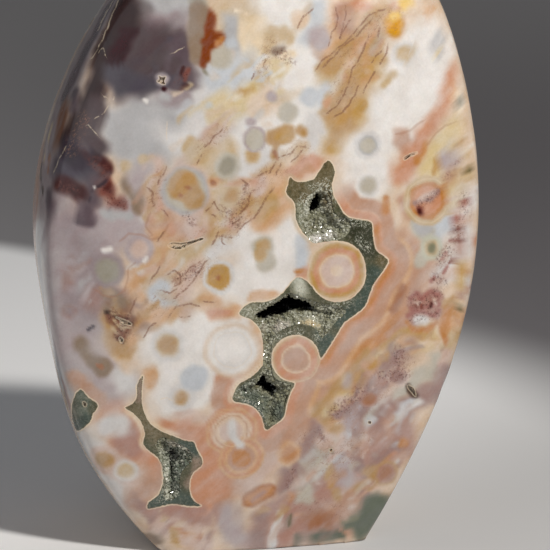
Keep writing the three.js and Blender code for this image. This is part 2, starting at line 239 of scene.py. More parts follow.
# Clouds: softly bounded stretches of one colour, painted in this order.
# Each has its colour, its radius and its route, in photograph pixels.
CLOUDS = [
    ("white", 60, [(300, 20), (300, 90), (240, 110)]),
    ("milk", 34, [(140, 134), (190, 122), (235, 96)]),
    # The left flank and the dark corner.
    # Painted light: the silver brightens the left flank, which faces away from the key.
    ("silver", 34, [(40, 240), (46, 300), (60, 370)]),
    ("lilac", 34, [(110, 4), (74, 70), (52, 130), (46, 190)]),
    ("lilac shade", 12, [(110, 6), (92, 38), (76, 68), (64, 96)]),
    ("umber", 13, [(62, 112), (60, 134)]),
    ("straw", 6, [(52, 122), (46, 154)]),
    ("terracotta", 4, [(52, 150), (50, 172)]),
    ("bark", 5, [(41, 168), (44, 196)]),
    ("lilac shade", 7, [(50, 196), (50, 222), (44, 240)]),
    # Painted reflection: the milk and white strips along the left edge stand for the lit table mirrored there.
    ("milk", 7, [(36, 228), (37, 256)]),
    ("white", 9, [(42, 262), (44, 280), (45, 296)]),
    ("pale lilac", 34, [(70, 244), (68, 290), (70, 336)]),
    ("lilac", 26, [(84, 226), (98, 262), (92, 300)]),
    ("pale lilac", 24, [(112, 226), (136, 214)]),
    ("silver", 20, [(128, 150), (150, 158), (126, 132)]),
    ("silver", 15, [(124, 118), (150, 112), (172, 110)]),
    ("silver", 20, [(150, 2), (186, 6)]),
    ("lilac", 12, [(150, 22), (176, 24)]),
    ("lilac shade", 26, [(134, 44), (150, 60), (172, 62)]),
    ("plum", 16, [(126, 8), (114, 40), (98, 84), (88, 112)]),
    ("plum", 11, [(80, 126), (72, 140)]),
    ("smoke", 13, [(98, 112), (92, 134), (98, 148)]),
    ("lilac shade", 8, [(72, 94), (70, 112)]),
    ("pale lilac", 6, [(48, 140), (48, 160)]),
    ("smoke", 14, [(134, 44), (130, 70)]),
    ("smoke", 18, [(150, 40), (168, 50), (150, 74)]),
    ("lilac shade", 13, [(176, 48), (180, 76)]),
    ("lilac", 10, [(160, 98), (178, 98)]),
    ("slate", 13, [(116, 74), (126, 86), (148, 86)]),
    ("slate", 8, [(162, 84), (176, 80)]),
    ("blood", 8, [(126, 32), (120, 48), (114, 60)]),
    ("slate", 17, [(74, 156), (84, 170), (66, 170)]),
    ("ink", 9, [(72, 150), (78, 160)]),
    ("lilac shade", 9, [(90, 178), (90, 196)]),
    ("maroon", 7, [(92, 160), (102, 171)]),
    ("maroon", 8, [(58, 184), (68, 184), (77, 194)]),
    ("brick", 8, [(100, 186), (108, 200), (120, 202)]),
    ("maroon", 4, [(103, 186), (108, 192)]),
    ("taupe", 9, [(124, 186), (138, 192), (140, 204)]),
    ("silver", 6, [(100, 210), (128, 214)]),
    ("lilac shade", 7, [(82, 206), (82, 218)]),
    # The top, from left to right.
    ("grey green", 10, [(200, 4), (196, 26)]),
    ("taupe", 8, [(192, 16), (196, 40)]),
    ("sand", 22, [(240, 22), (256, 46)]),
    ("cream", 16, [(252, 30), (262, 56)]),
    ("silver", 9, [(232, 24), (236, 44)]),
    ("ice", 16, [(214, 74), (240, 66)]),
    ("rust", 7, [(211, 20), (208, 38), (218, 40), (206, 52)]),
    ("olive", 3.5, [(204, 58), (201, 69)]),
    ("straw", 15, [(218, 104), (236, 108), (250, 98)]),
    ("ochre", 5.5, [(238, 94), (254, 96)]),
    ("sand", 6, [(275, 30), (269, 44), (265, 54)]),
    ("sand", 7, [(284, 32), (292, 40)]),
    ("straw", 9, [(276, 62), (288, 60), (280, 74)]),
    ("sand", 6, [(268, 82), (262, 92)]),
    ("pale peach", 12, [(276, 100), (260, 112)]),
    ("ice", 11, [(322, 12), (312, 38)]),
    ("pale lilac", 10, [(318, 34), (322, 50)]),
    ("sand", 12, [(334, 60), (326, 76)]),
    ("ice", 10, [(326, 90), (328, 98)]),
    ("milk", 14, [(318, 124), (314, 138)]),
    ("pale rose", 9, [(228, 122), (212, 138), (202, 152), (184, 166)]),
    ("pale rose", 10, [(156, 164), (160, 182), (154, 204)]),
    ("pale lilac", 9, [(138, 174), (134, 180)]),
    ("sand", 12, [(200, 152), (216, 160), (232, 150)]),
    ("peach", 16, [(352, 4), (342, 30), (330, 48)]),
    ("rose", 8, [(344, 10), (341, 30)]),
    ("salmon", 7, [(353, 2), (358, 12)]),
    ("tan", 10, [(374, 22), (354, 42), (326, 64)]),
    ("tan", 12, [(372, 38), (360, 66), (348, 94), (332, 114)]),
    ("orange", 6, [(366, 34), (356, 52)]),
    ("ochre", 10, [(378, 62), (370, 84), (386, 78)]),
    ("ochre", 13, [(364, 104), (346, 124), (336, 140)]),
    ("tan", 12, [(366, 96), (356, 116), (344, 130)]),
    ("pale peach", 7, [(396, 100), (386, 116)]),
    ("ochre", 8, [(364, 104), (358, 116)]),
    ("silver", 5, [(376, 40), (370, 52)]),
    ("yellow", 6, [(401, 8), (408, 2)]),
    ("peach", 5, [(430, 4), (425, 16)]),
    ("white", 40, [(424, 60), (412, 92), (400, 112)]),
    ("white", 26, [(366, 148), (366, 184)]),
    ("cream", 8, [(458, 84), (460, 112)]),
    # The right side.
    ("rose", 16, [(430, 400), (408, 450), (392, 480)]),
    ("salmon", 11, [(455, 78), (447, 98), (438, 116), (424, 134)]),
    ("flesh", 10, [(400, 138), (410, 148)]),
    ("salmon", 12, [(424, 140), (412, 158), (400, 170)]),
    ("orange", 5, [(430, 142), (420, 160)]),
    ("straw", 14, [(450, 134), (440, 160), (434, 176)]),
    ("pale lilac", 8, [(454, 152), (450, 164)]),
    ("sand", 5, [(466, 150), (462, 186)]),
    ("straw", 10, [(446, 186), (456, 180)]),
    ("milk", 14, [(448, 222), (468, 200)]),
    ("straw", 5, [(458, 196), (454, 214)]),
    ("pale peach", 20, [(396, 214), (404, 238), (420, 262)]),
    ("peach", 12, [(400, 238), (412, 262)]),
    ("flesh", 8, [(404, 200), (406, 212)]),
    ("orange", 8, [(395, 240), (396, 262)]),
    ("ash", 8, [(420, 254), (422, 268)]),
    ("ice", 10, [(440, 226), (432, 244)]),
    ("milk", 12, [(466, 232), (452, 258), (438, 272)]),
    ("salmon", 5, [(474, 238), (472, 262)]),
    ("ochre", 7, [(458, 264), (461, 276)]),
    ("pale rose", 8, [(468, 196), (460, 236)]),
    ("white", 6, [(474, 190), (472, 212)]),
    ("rose", 6, [(462, 238), (452, 254), (458, 226)]),
    ("pale peach", 7, [(472, 276), (464, 318)]),
    ("tan", 6, [(454, 288), (449, 312)]),
    ("milk", 6, [(467, 282), (465, 298)]),
    ("peach", 8, [(462, 316), (452, 340)]),
    ("white", 24, [(250, 246), (266, 268), (240, 282)]),
    ("milk", 10, [(212, 252), (224, 246)]),
    ("white", 16, [(284, 226), (290, 250), (278, 276)]),
    ("ice", 8, [(304, 240), (302, 262)]),
    # The salmon field below and to the right of the green.
    ("flesh", 34, [(404, 262), (384, 318), (338, 362), (300, 408), (244, 446), (214, 480)]),
    ("salmon", 26, [(186, 436), (208, 430), (206, 486)]),
    ("orange", 9, [(402, 284), (398, 302), (386, 322), (368, 344)]),
    ("ochre", 7, [(430, 330), (404, 334), (384, 348), (372, 362)]),
    ("tan", 7, [(366, 350), (346, 372), (328, 394), (316, 412)]),
    ("orange", 6, [(364, 334), (352, 356), (344, 366)]),
    ("ochre", 6, [(362, 374), (346, 388), (330, 408)]),
    ("peach", 10, [(376, 380), (352, 398), (328, 424)]),
    ("pale rose", 20, [(410, 400), (370, 420), (330, 448)]),
    ("mauve", 14, [(416, 404), (384, 420), (356, 412)]),
    ("rose", 22, [(396, 440), (364, 468), (300, 500)]),
    ("flesh", 20, [(420, 420), (400, 470), (352, 500)]),
    ("pale rose", 18, [(260, 462), (250, 482)]),
    ("mauve", 14, [(402, 352), (388, 372), (366, 394)]),
    ("mauve", 6, [(350, 396), (336, 410)]),
    ("sand", 9, [(444, 344), (458, 334)]),
    ("orange", 7, [(450, 316), (448, 334)]),
    ("ash", 9, [(432, 356), (426, 378)]),
    ("pale rose", 8, [(444, 352), (438, 366)]),
    ("mauve", 13, [(440, 378), (434, 390), (428, 402)]),
    ("ash", 9, [(416, 380), (404, 396)]),
    ("milk", 6, [(398, 420), (418, 408)]),
    ("pale lilac", 10, [(350, 420), (350, 430)]),
    ("pale lilac", 9, [(340, 462), (344, 480)]),
    ("ash", 10, [(305, 486), (306, 500)]),
    ("ash", 7, [(318, 450), (312, 458)]),
    ("tan", 7, [(326, 414), (334, 426)]),
    ("mauve", 8, [(316, 426), (310, 444), (298, 472)]),
    ("mauve", 9, [(284, 480), (290, 494)]),
    ("mauve", 7, [(374, 456), (396, 446)]),
    ("mauve", 6, [(352, 436), (356, 466)]),
    ("orange", 5, [(294, 494), (284, 510)]),
    ("tan", 7, [(356, 488), (352, 504), (346, 514)]),
    ("ochre", 5, [(336, 494), (326, 462)]),
    ("tan", 8, [(368, 470), (384, 476)]),
    ("rose", 16, [(280, 512), (330, 528), (262, 540)]),
    ("flesh", 12, [(338, 512), (352, 500), (344, 528)]),
    ("pale lilac", 14, [(232, 516), (240, 536)]),
    ("mauve", 7, [(262, 520), (257, 540)]),
    ("milk", 5, [(279, 516), (274, 530), (270, 544)]),
    ("terracotta", 11, [(314, 520), (332, 526)]),
    ("taupe", 5, [(292, 520), (290, 528)]),
    ("jade", 13, [(390, 492), (378, 508), (364, 526)]),
    ("sage", 5, [(360, 520), (344, 526)]),
    ("jade", 6, [(300, 542), (320, 539), (336, 538)]),
    # The foot, at the left.
    ("rose", 10, [(152, 516), (214, 514)]),
    ("pale rose", 10, [(156, 526), (200, 540)]),
    ("taupe", 6, [(146, 534), (160, 544)]),
    ("orange", 3.5, [(170, 531), (184, 532), (196, 530)]),
    ("ochre", 4, [(172, 534), (176, 544)]),
    ("milk", 20, [(88, 446), (108, 474), (128, 494)]),
    ("pale rose", 12, [(112, 468), (140, 486)]),
    ("flesh", 12, [(152, 460), (154, 482), (140, 500)]),
    ("salmon", 16, [(112, 412), (128, 438), (146, 456)]),
    ("rose", 12, [(124, 436), (132, 448)]),
    ("milk", 10, [(106, 424), (120, 424)]),
    ("mauve", 7, [(138, 500), (146, 514)]),
    # The left side, and the white orbs beside it.
    ("white", 34, [(170, 344), (196, 376), (228, 346)]),
    ("white", 18, [(228, 320), (206, 330)]),
    ("tan", 6, [(64, 388), (66, 404)]),
    ("white", 22, [(176, 398), (204, 392)]),
    ("pale lilac", 22, [(100, 366), (114, 386)]),
    ("milk", 12, [(118, 372), (126, 386)]),
    ("mauve", 8, [(64, 386), (70, 410)]),
    ("pale peach", 9, [(118, 352), (124, 364)]),
    ("flesh", 8, [(70, 374), (84, 388), (100, 402)]),
    ("taupe", 9, [(84, 344), (94, 358)]),
    ("mauve", 16, [(102, 302), (124, 300), (138, 318)]),
    ("taupe", 9, [(116, 298), (124, 304)]),
    ("peach", 13, [(140, 272), (142, 292)]),
    ("peach", 9, [(138, 318), (128, 340)]),
    ("tan", 9, [(108, 322), (114, 336), (120, 346)]),
    ("taupe", 9, [(112, 316), (126, 322)]),
    ("mauve", 7, [(70, 280), (78, 268)]),
    ("peach", 7, [(146, 372), (150, 380)]),
    ("salmon", 8, [(222, 376), (220, 400), (214, 412)]),
    ("pale peach", 10, [(210, 404), (200, 414)]),
    ("pale rose", 7, [(184, 412), (194, 416)]),
    ("peach", 9, [(260, 322), (264, 350), (246, 374)]),
    ("peach", 6, [(252, 298), (272, 296)]),
    ("peach", 9, [(212, 302), (218, 316), (232, 312)]),
    ("salmon", 5, [(214, 320), (228, 314)]),
    # The middle.
    ("flesh", 16, [(160, 214), (168, 236), (196, 220)]),
    ("peach", 14, [(164, 240), (160, 264), (150, 286)]),
    ("sand", 10, [(208, 222), (200, 242), (182, 250)]),
    ("tan", 5, [(212, 216), (206, 232)]),
    ("pale rose", 12, [(194, 214), (194, 230)]),
    ("pale rose", 12, [(196, 268), (180, 290), (186, 308)]),
    ("ice", 9, [(162, 278), (160, 292)]),
    ("ice", 6, [(166, 300), (172, 298)]),
    ("peach", 8, [(154, 314), (170, 308)]),
    ("milk", 16, [(236, 180), (250, 168), (262, 158)]),
    ("sand", 14, [(224, 176), (232, 200), (226, 216)]),
    ("pale rose", 9, [(262, 182), (256, 204), (240, 222)]),
    ("pale rose", 8, [(230, 232), (236, 226)]),
    ("peach", 14, [(284, 180), (282, 204), (262, 220)]),
    ("ochre", 8, [(270, 206), (262, 214)]),
    ("salmon", 10, [(296, 172), (316, 164)]),
    ("orange", 5, [(302, 174), (312, 170)]),
    ("salmon", 4, [(300, 271), (312, 266)]),
]

# Bands that follow the edge of the green: colour, nearest and furthest distance from it,
# then the radius and the route of the stretch where they show, all in photograph pixels.
BAND_STRETCH = [
    (356, 208), (378, 222), (388, 246), (396, 264), (384, 292), (372, 314), (346, 342), (326, 366),
    (304, 388), (294, 410), (280, 428), (262, 436), (244, 412), (226, 396),
]
BANDS = [
    ("flesh", 9, 22, 22, BAND_STRETCH),
    ("salmon", 0, 9, 22, BAND_STRETCH),
    ("orange", 2, 6, 12, [(372, 236), (384, 262), (374, 296), (352, 326), (330, 356), (318, 364)]),
    ("peach", 21, 26, 14, [(404, 250), (398, 286), (386, 314), (360, 346), (330, 378), (312, 400)]),
    ("salmon", 0, 12, 16, [(204, 440), (212, 462), (200, 484), (208, 500), (176, 428)]),
    ("rose", 0, 8, 10, [(150, 514), (200, 514)]),
    ("cream", 1, 4, 12, [(268, 318), (272, 344), (262, 368), (240, 384), (144, 440), (136, 416)]),
    ("sand", 1, 3, 12, [(290, 176), (284, 192), (294, 214), (300, 234)]),
]

# Streaks: many small soft strokes along the stone's slant. Each stretch has the number of strokes,
# how far they spread from its route, the route, and the colours that they take by chance.
STREAKS = [
    (90, 26, [(236, 60), (290, 80), (250, 110), (190, 110)], ("white", "sand", "straw", "ice", "pale peach")),
    (90, 18, [(396, 14), (360, 50), (338, 100)], ("tan", "peach", "sand", "ochre", "pale rose", "salmon")),
    (60, 16, [(226, 180), (250, 205), (210, 230)], ("salmon", "pale rose", "sand", "milk", "tan")),
    (60, 16, [(160, 170), (164, 220), (150, 290)], ("pale rose", "salmon", "milk", "sand", "tan")),
    (60, 14, [(430, 330), (380, 362), (330, 410)], ("ochre", "orange", "straw", "mauve", "tan", "peach")),
    (60, 16, [(404, 352), (384, 384), (352, 400)], ("mauve", "pale rose", "rose", "lilac", "pale lilac")),
    (120, 20, [(412, 402), (370, 430), (330, 462), (300, 492)], ("milk", "rose", "mauve", "ice", "ash", "flesh")),
    (80, 20, [(400, 450), (366, 484), (330, 512), (262, 520)], ("rose", "tan", "flesh", "mauve", "salmon", "milk")),
    (60, 8, [(466, 196), (454, 246), (440, 274)], ("milk", "rose", "white", "mauve", "pale rose")),
    (40, 9, [(458, 130), (462, 176), (446, 186)], ("straw", "milk", "tan", "white", "rose")),
    (30, 10, [(468, 262), (456, 320)], ("tan", "straw", "rose", "peach")),
    (40, 14, [(76, 250), (78, 310)], ("lilac", "silver", "pale lilac", "mauve")),
    (40, 14, [(112, 302), (136, 316), (118, 346)], ("taupe", "peach", "tan", "umber")),
    (30, 12, [(160, 40), (150, 66), (176, 70)], ("smoke", "lilac shade", "slate", "maroon")),
    (24, 12, [(84, 150), (96, 196)], ("slate", "maroon", "ink", "lilac shade")),
    (30, 12, [(150, 520), (210, 530)], ("rose", "pale rose", "sand", "mauve")),
]
STREAK_SLANT = (0.72, -0.7)
SLANT_TURN = (0, math.radians(-44), 0)
SLANT_STRETCH = (2.4, 1, 1)

# Orbs with clear edges: a centre in photograph pixels, then rings from the outside in,
# as radius and colour.
ORBS = [
    # Painted reflection: the first orb's pale peach middle stands for reflection spots on the polish.
    ((337, 271), [
        (30, "sand"), (27.5, "ochre"), (24, "salmon"), (19.5, "peach"), (17.5, "pale peach"),
        (15.5, "pale rose"), (6, "pale peach"),
    ]),
    ((296, 359), [(24, "sand"), (22, "salmon"), (15, "pale peach"), (13, "flesh")]),
    ((367, 145), [(15, "milk"), (10.5, "silver"), (8.5, "ash")]),
    ((219, 277), [(17, "milk"), (12.5, "ochre"), (8, "tan"), (6.5, "ochre"), (3, "terracotta")]),
    ((255, 140), [(12.5, "pale lilac"), (10, "ash")]),
    ((427, 201), [(25, "sand"), (19, "orange"), (15, "salmon")]),
    ((232, 432), [
        (28, "salmon"), (26, "peach"), (23, "salmon"), (20.5, "pale peach"), (17.5, "flesh"), (15.5, "pale peach"),
        (12, "pale rose"),
    ]),
    ((241, 458), [(23, "peach"), (20, "salmon"), (17.5, "peach"), (14, "flesh"), (9.5, "orange")]),
    # Painted glint: this small silver and white spot stands for a reflection on the polish.
    ((343, 230), [(6, "silver"), (4, "white")]),
]

# Orbs that blur into the stone round them, in the same form.
SOFT_ORBS = [
    ((368, 185), [(10, "milk"), (8, "ash")]),
    ((168, 345.5), [(17, "milk"), (11.5, "sand"), (9, "tan")]),
    ((181, 398), [(14, "milk"), (7.5, "tan")]),
    ((194, 378), [(14, "ice")]),
    ((232, 350), [(28, "pale peach"), (25, "white"), (19, "milk"), (17, "white")]),
    ((421, 260), [(8, "ash")]),
    ((266, 262), [(10, "ash")]),
    ((263, 246), [(11, "ash"), (7, "ochre")]),
    ((260, 255), [(6, "ochre")]),
    ((185, 191), [(26, "pale rose"), (24, "silver"), (20, "ash")]),
    ((183, 186), [(16, "tan")]),
    ((193, 198), [(12, "tan")]),
    ((253, 156), [(8, "sand"), (6, "ochre")]),
    ((320, 39), [(11, "pale lilac")]),
    ((300, 18), [(9, "pale peach")]),
    ((310, 97), [(10, "ice")]),
    ((288, 112), [(10, "ash")]),
    ((272, 97), [(5, "pale lilac")]),
    ((252, 122), [(5, "pale lilac")]),
    ((227, 166), [(14, "ash"), (9, "grey green")]),
    ((232, 196), [(10, "sand"), (7, "tan")]),
    ((214, 183), [(6, "peach"), (3.5, "terracotta")]),
    ((394, 25), [(13, "peach"), (11, "ochre"), (9.5, "amber")]),
    ((405, 53), [(13, "milk"), (9, "sand")]),
    ((222, 58), [(12, "ash")]),
    ((424, 226), [(14, "ash"), (10, "silver")]),
    ((431, 199), [(8, "rose")]),
    ((420, 205), [(5, "rose")]),
    ((442, 222), [(10, "ice")]),
    ((431, 248), [(13, "frost"), (8, "sand"), (5, "sage")]),
    ((108, 270), [(17, "lilac"), (12, "grey green")]),
    ((139, 250), [(15, "pale lilac"), (9, "pale rose")]),
    ((69, 312), [(7, "mauve"), (4.5, "lilac")]),
    ((102, 367), [(10, "taupe"), (3, "terracotta")]),
    ((104, 460), [(16, "pale rose"), (9, "tan")]),
    ((126, 471), [(12, "milk"), (8, "sand")]),
    ((289, 453), [(12, "peach"), (8, "orange")]),
    ((386, 474), [(13, "tan"), (10, "rose"), (7, "terracotta")]),
    ((369, 400), [(8, "rose"), (6, "terracotta")]),
    ((382, 383), [(6, "rose")]),
    ((398, 376), [(11, "pale rose"), (8, "mauve")]),
    ((132, 141), [(7, "silver")]),
    ((126, 166), [(6, "sand")]),
    ((142, 159), [(5, "sand")]),
    ((463, 308), [(4, "olive")]),
    # Painted highlight: the pale lilac patch on the pit in the dark corner.
    ((162, 79.5), [(6.5, "pale lilac")]),
    ((460, 101), [(4, "grey green")]),
]

# Smaller and sharper marks over everything else: the same form as the clouds.
MARKS = [
    ("jade", 10, [(387, 497), (377, 513), (364, 525)]),
    ("ochre", 5, [(363, 104), (358, 114)]),
    ("teal", 5, [(383, 506), (376, 518)]),
    ("jade", 3, [(356, 523), (347, 526)]),
    ("silver", 7, [(438, 38), (438, 52)]),
    ("milk", 4.5, [(438, 38), (438, 52)]),
    ("straw", 2.2, [(438, 48), (438, 53)]),
    ("tan", 10, [(276, 137), (286, 133)]),
    ("ochre", 7, [(280, 137), (286, 134)]),
    ("tan", 4.5, [(300, 130), (304, 132)]),
    ("terracotta", 4.5, [(402, 288), (399, 300), (394, 310)]),
    ("tan", 3, [(276, 144), (274, 156)]),
    ("taupe", 9, [(199, 10), (196, 34), (198, 56)]),
    ("rust", 4.5, [(211, 18), (209, 30), (211, 42)]),
    ("rust", 5, [(205, 42), (220, 37)]),
    ("rust", 3.5, [(206, 50), (203, 64)]),
    ("orange", 3, [(217, 43), (222, 39)]),
    ("brick", 2.5, [(188, 70), (185, 80)]),
    ("maroon", 2, [(183, 68), (181, 78)]),
    ("lilac shade", 5, [(179, 80), (175, 86)]),
    ("blood", 2.5, [(164, 89), (165, 90)]),
    ("silver", 4, [(163, 97), (167, 98)]),
    # Painted glint: the tiny white dot.
    ("white", 2, [(145, 101), (147, 102)]),
    ("white", 1.4, [(94, 187), (95, 189)]),
    ("white", 3, [(105, 251), (110, 249)]),
    ("white", 2, [(145, 262), (147, 258)]),
    ("cream", 1.5, [(236, 11), (246, 12)]),
    ("cream", 4, [(282, 56), (294, 54)]),
    ("taupe", 3, [(274, 52), (284, 50)]),
    ("sand", 4, [(190, 139), (186, 148)]),
    ("yellow", 4, [(392, 18), (398, 16)]),
    ("sand", 4, [(394, 74), (384, 84)]),
    ("mauve", 2.5, [(415, 204), (422, 199), (430, 199), (437, 191)]),
    ("pale rose", 2.5, [(419, 200), (426, 194), (434, 192)]),
    ("brick", 3.5, [(421, 209), (421, 213)]),
    ("maroon", 2, [(420, 210), (420, 213)]),
    ("rose", 10, [(416, 300), (426, 306), (434, 298)]),
    ("rose", 8, [(414, 318), (424, 310), (436, 312)]),
    ("madder", 2.2, [(410, 297), (416, 292), (422, 299), (430, 292), (438, 295)]),
    ("madder", 2.2, [(411, 308), (420, 310), (430, 306), (440, 304)]),
    ("madder", 2, [(408, 316), (415, 311), (436, 316), (440, 310)]),
    ("pale rose", 2, [(415, 303), (420, 302)]),
    ("pale rose", 2, [(434, 300), (436, 304)]),
    ("brick", 2, [(421, 305), (422, 308)]),
    ("maroon", 1.6, [(431, 304), (431, 307)]),
    ("brick", 1.6, [(415, 304), (416, 306)]),
    ("milk", 5, [(417, 320), (425, 320)]),
    ("orange", 2.5, [(407, 322), (414, 330), (428, 330), (437, 322)]),
    ("madder", 1.8, [(467, 196), (463, 206)]),
    ("madder", 2, [(460, 214), (455, 222)]),
    ("brick", 1.6, [(461, 224), (458, 230)]),
    ("madder", 2, [(455, 234), (451, 241)]),
    ("brick", 1.6, [(459, 240), (457, 246)]),
    ("madder", 2, [(446, 252), (442, 258)]),
    ("brick", 1.6, [(452, 258), (450, 263)]),
    ("madder", 1.8, [(448, 267), (444, 274)]),
    ("madder", 1.8, [(434, 277), (430, 282)]),
    ("olive", 2, [(472, 154), (468, 172)]),
    ("ochre", 2.5, [(436, 160), (434, 174)]),
    ("orange", 4, [(386, 200), (384, 212)]),
    ("terracotta", 9, [(250, 500), (268, 491)]),
    ("orange", 6.5, [(250, 500), (268, 491)]),
    ("rose", 2.5, [(252, 501), (264, 492)]),
    ("orange", 5, [(403, 443), (412, 437)]),
    ("milk", 5, [(232, 424), (234, 436), (240, 444)]),
    ("terracotta", 2.5, [(313, 521), (311, 528)]),
    ("tan", 4, [(336, 492), (338, 498)]),
    ("terracotta", 2, [(188, 187), (189, 188)]),
    ("terracotta", 2, [(181, 195), (182, 196)]),
    ("terracotta", 2, [(98, 366), (99, 367)]),
    ("slate", 2, [(88, 330), (93, 327)]),
    ("umber", 6, [(112, 318), (124, 322), (120, 334)]),
    ("umber", 4, [(132, 320), (126, 330)]),
    ("bark", 2.5, [(116, 316), (126, 320)]),
    ("bark", 2, [(120, 327), (131, 324)]),
    ("bark", 2, [(106, 312), (113, 315)]),
    ("bark", 2, [(119, 338), (122, 342)]),
    ("sand", 1.8, [(114, 320), (122, 328), (130, 326)]),
    ("sand", 1.8, [(112, 314), (118, 313)]),
    ("sand", 1.8, [(112, 328), (117, 333)]),
    ("bark", 3, [(408, 386), (415, 396)]),
    ("tan", 2.5, [(158, 302), (148, 312), (146, 318)]),
    ("orange", 3, [(298, 272), (304, 271)]),
    ("taupe", 2, [(331, 448), (333, 452)]),
    ("mauve", 2.5, [(318, 428), (321, 438)]),
    ("olive", 1.8, [(291, 516), (290, 526)]),
    ("terracotta", 1.8, [(278, 158), (275, 152)]),
]

# Thin pale lines that run round an orb: centre and radius.
RING_LINES = [
    ((337, 271), 29.5), ((337, 271), 17), ((296, 359), 24.5), ((296, 359), 14.5), ((232, 432), 15.5),
    ((232, 350), 19), ((427, 201), 22),
]

# Fine red-brown veins: routes in photograph pixels.
VEINS = [
    [(384, 9), (376, 13), (369, 15), (364, 22), (354, 32), (346, 42), (337, 49), (326, 58), (316, 69)],
    [(371, 20), (362, 30), (354, 38), (344, 46), (334, 55), (324, 66)],
    [(350, 20), (345, 28), (340, 37)],
    [(336, 8), (338, 18), (335, 28), (331, 34), (329, 44)],
    [(345, 8), (345, 17), (343, 26), (340, 38)],
    [(368, 38), (364, 50), (358, 62), (353, 68), (350, 78), (346, 90), (342, 100), (336, 107), (328, 112)],
    [(358, 86), (354, 96), (348, 106), (342, 113), (334, 117)],
    [(388, 46), (385, 56), (381, 63)],
    [(381, 50), (376, 56), (372, 62)],
    [(374, 72), (369, 80), (364, 92)],
    [(380, 27), (377, 36)],
    [(306, 148), (298, 146), (290, 153), (281, 157)],
    [(301, 152), (295, 158), (292, 161)],
    [(275, 163), (270, 172)],
    [(281, 165), (276, 173)],
    [(266, 172), (258, 176)],
    [(274, 188), (264, 202), (258, 212), (254, 218), (245, 223), (237, 231)],
    [(250, 194), (249, 203), (244, 210), (239, 214)],
    [(242, 181), (247, 184), (243, 190)],
    [(221, 130), (211, 140), (206, 147)],
    [(201, 156), (197, 163)],
    [(214, 202), (206, 211)],
    [(214, 203), (218, 210), (224, 213)],
    [(212, 215), (218, 219)],
    [(218, 232), (215, 239), (213, 244)],
    [(222, 236), (222, 242), (226, 245)],
    [(224, 236), (231, 237)],
    [(240, 219), (232, 223)],
    [(166, 168), (162, 176), (158, 183)],
    [(147, 188), (152, 193), (154, 206)],
    [(162, 210), (168, 216)],
    [(164, 232), (158, 239)],
    [(160, 266), (156, 274), (150, 282)],
    [(168, 274), (174, 271), (180, 276), (181, 283), (175, 285)],
    [(164, 291), (170, 294), (176, 289)],
    [(175, 298), (184, 291), (194, 279), (207, 261)],
    [(201, 262), (190, 268), (182, 278)],
    [(136, 299), (130, 312)],
    [(155, 323), (149, 328), (144, 336)],
    [(177, 306), (169, 317)],
    [(180, 306), (190, 303), (198, 305)],
    [(182, 316), (190, 316)],
    [(205, 301), (213, 303)],
    [(313, 8), (304, 16), (298, 28)],
    [(264, 66), (266, 60)],
    [(252, 79), (254, 75)],
    [(116, 312), (122, 320), (132, 324), (126, 332), (121, 342)],
]

# Veins that lie close together go into different sets, so that they don't run into each other.
VEIN_SETS = ("vein_a", "vein_b", "vein_c")

# Where fine broken lines run along the slant, as though the stone had been stretched: radius and route.
STRETCHED = [
    (17, [(388, 18), (356, 48), (342, 96)]),
    (12, [(302, 150), (264, 180), (246, 212), (222, 238)]),
    (13, [(206, 262), (180, 284), (158, 304)]),
    (10, [(116, 318), (126, 332)]),
    (10, [(204, 146), (224, 128)]),
    (9, [(160, 176), (154, 202)]),
    (15, [(404, 362), (380, 386), (342, 414)]),
    (18, [(312, 440), (334, 466), (360, 440)]),
    (6, [(466, 200), (454, 240), (438, 274)]),
    (10, [(272, 44), (262, 70)]),
    (8, [(178, 248), (200, 234)]),
    (12, [(300, 500), (340, 510)]),
    (8, [(84, 120), (70, 150)]),
]

# Soft pink-brown lines round the bands on the left and the right.
CONTOURS = [
    [(94, 289), (103, 296), (114, 297), (124, 291), (128, 279), (128, 268), (134, 263)],
    [(120, 240), (128, 234), (142, 235), (152, 239), (162, 236), (167, 226)],
    [(150, 214), (146, 226), (152, 234)],
    [(396, 134), (410, 131), (424, 120)],
    [(428, 144), (440, 128), (454, 122)],
]

# Pale hairlines, mostly in the dark corner. The first three, at the top of the left edge, are painted highlights:
# streaks along that edge and on a scratch.
HAIRLINES_AND_GLINTS = [
    [(113, 1), (105, 15), (98, 30)],
    [(119, 0), (111, 18), (104, 37), (92, 58)],
    [(103, 48), (107, 57)],
    [(114, 99), (104, 113), (96, 118), (88, 125)],
    [(172, 53), (183, 48)],
    [(167, 124), (167, 139)],
    [(67, 145), (58, 160), (54, 172)],
    [(98, 136), (90, 127)],
    [(161, 399), (167, 398), (171, 400)],
    [(102, 94), (107, 99)],
    [(45, 136), (42, 150)],
]

# Where dark red and brown grains crowd together: radius and route.
GRAINS = [
    (9, [(414, 298), (424, 308), (436, 294)]),
    (6, [(414, 318), (436, 314)]),
    (6, [(466, 196), (464, 216), (456, 236), (448, 250), (440, 262)]),
    (5, [(434, 276), (446, 284)]),
    (7, [(108, 192), (112, 203), (122, 203)]),
    (6, [(94, 162), (104, 172)]),
    (4, [(178, 82), (187, 74)]),
    (9, [(112, 316), (126, 322), (121, 336)]),
    (3, [(456, 164), (446, 178)]),
    (6, [(176, 280), (200, 268)]),
    (5, [(420, 206), (436, 193)]),
    (6, [(278, 52), (292, 62)]),
    (9, [(360, 392), (346, 404), (334, 412)]),
    (7, [(398, 350), (404, 376), (380, 376)]),
    (6, [(222, 208), (236, 224), (248, 186)]),
    (4, [(292, 470), (288, 486)]),
    (3, [(318, 428), (324, 440)]),
    (5, [(60, 186), (74, 190)]),
    (4, [(184, 214), (194, 222)]),
]

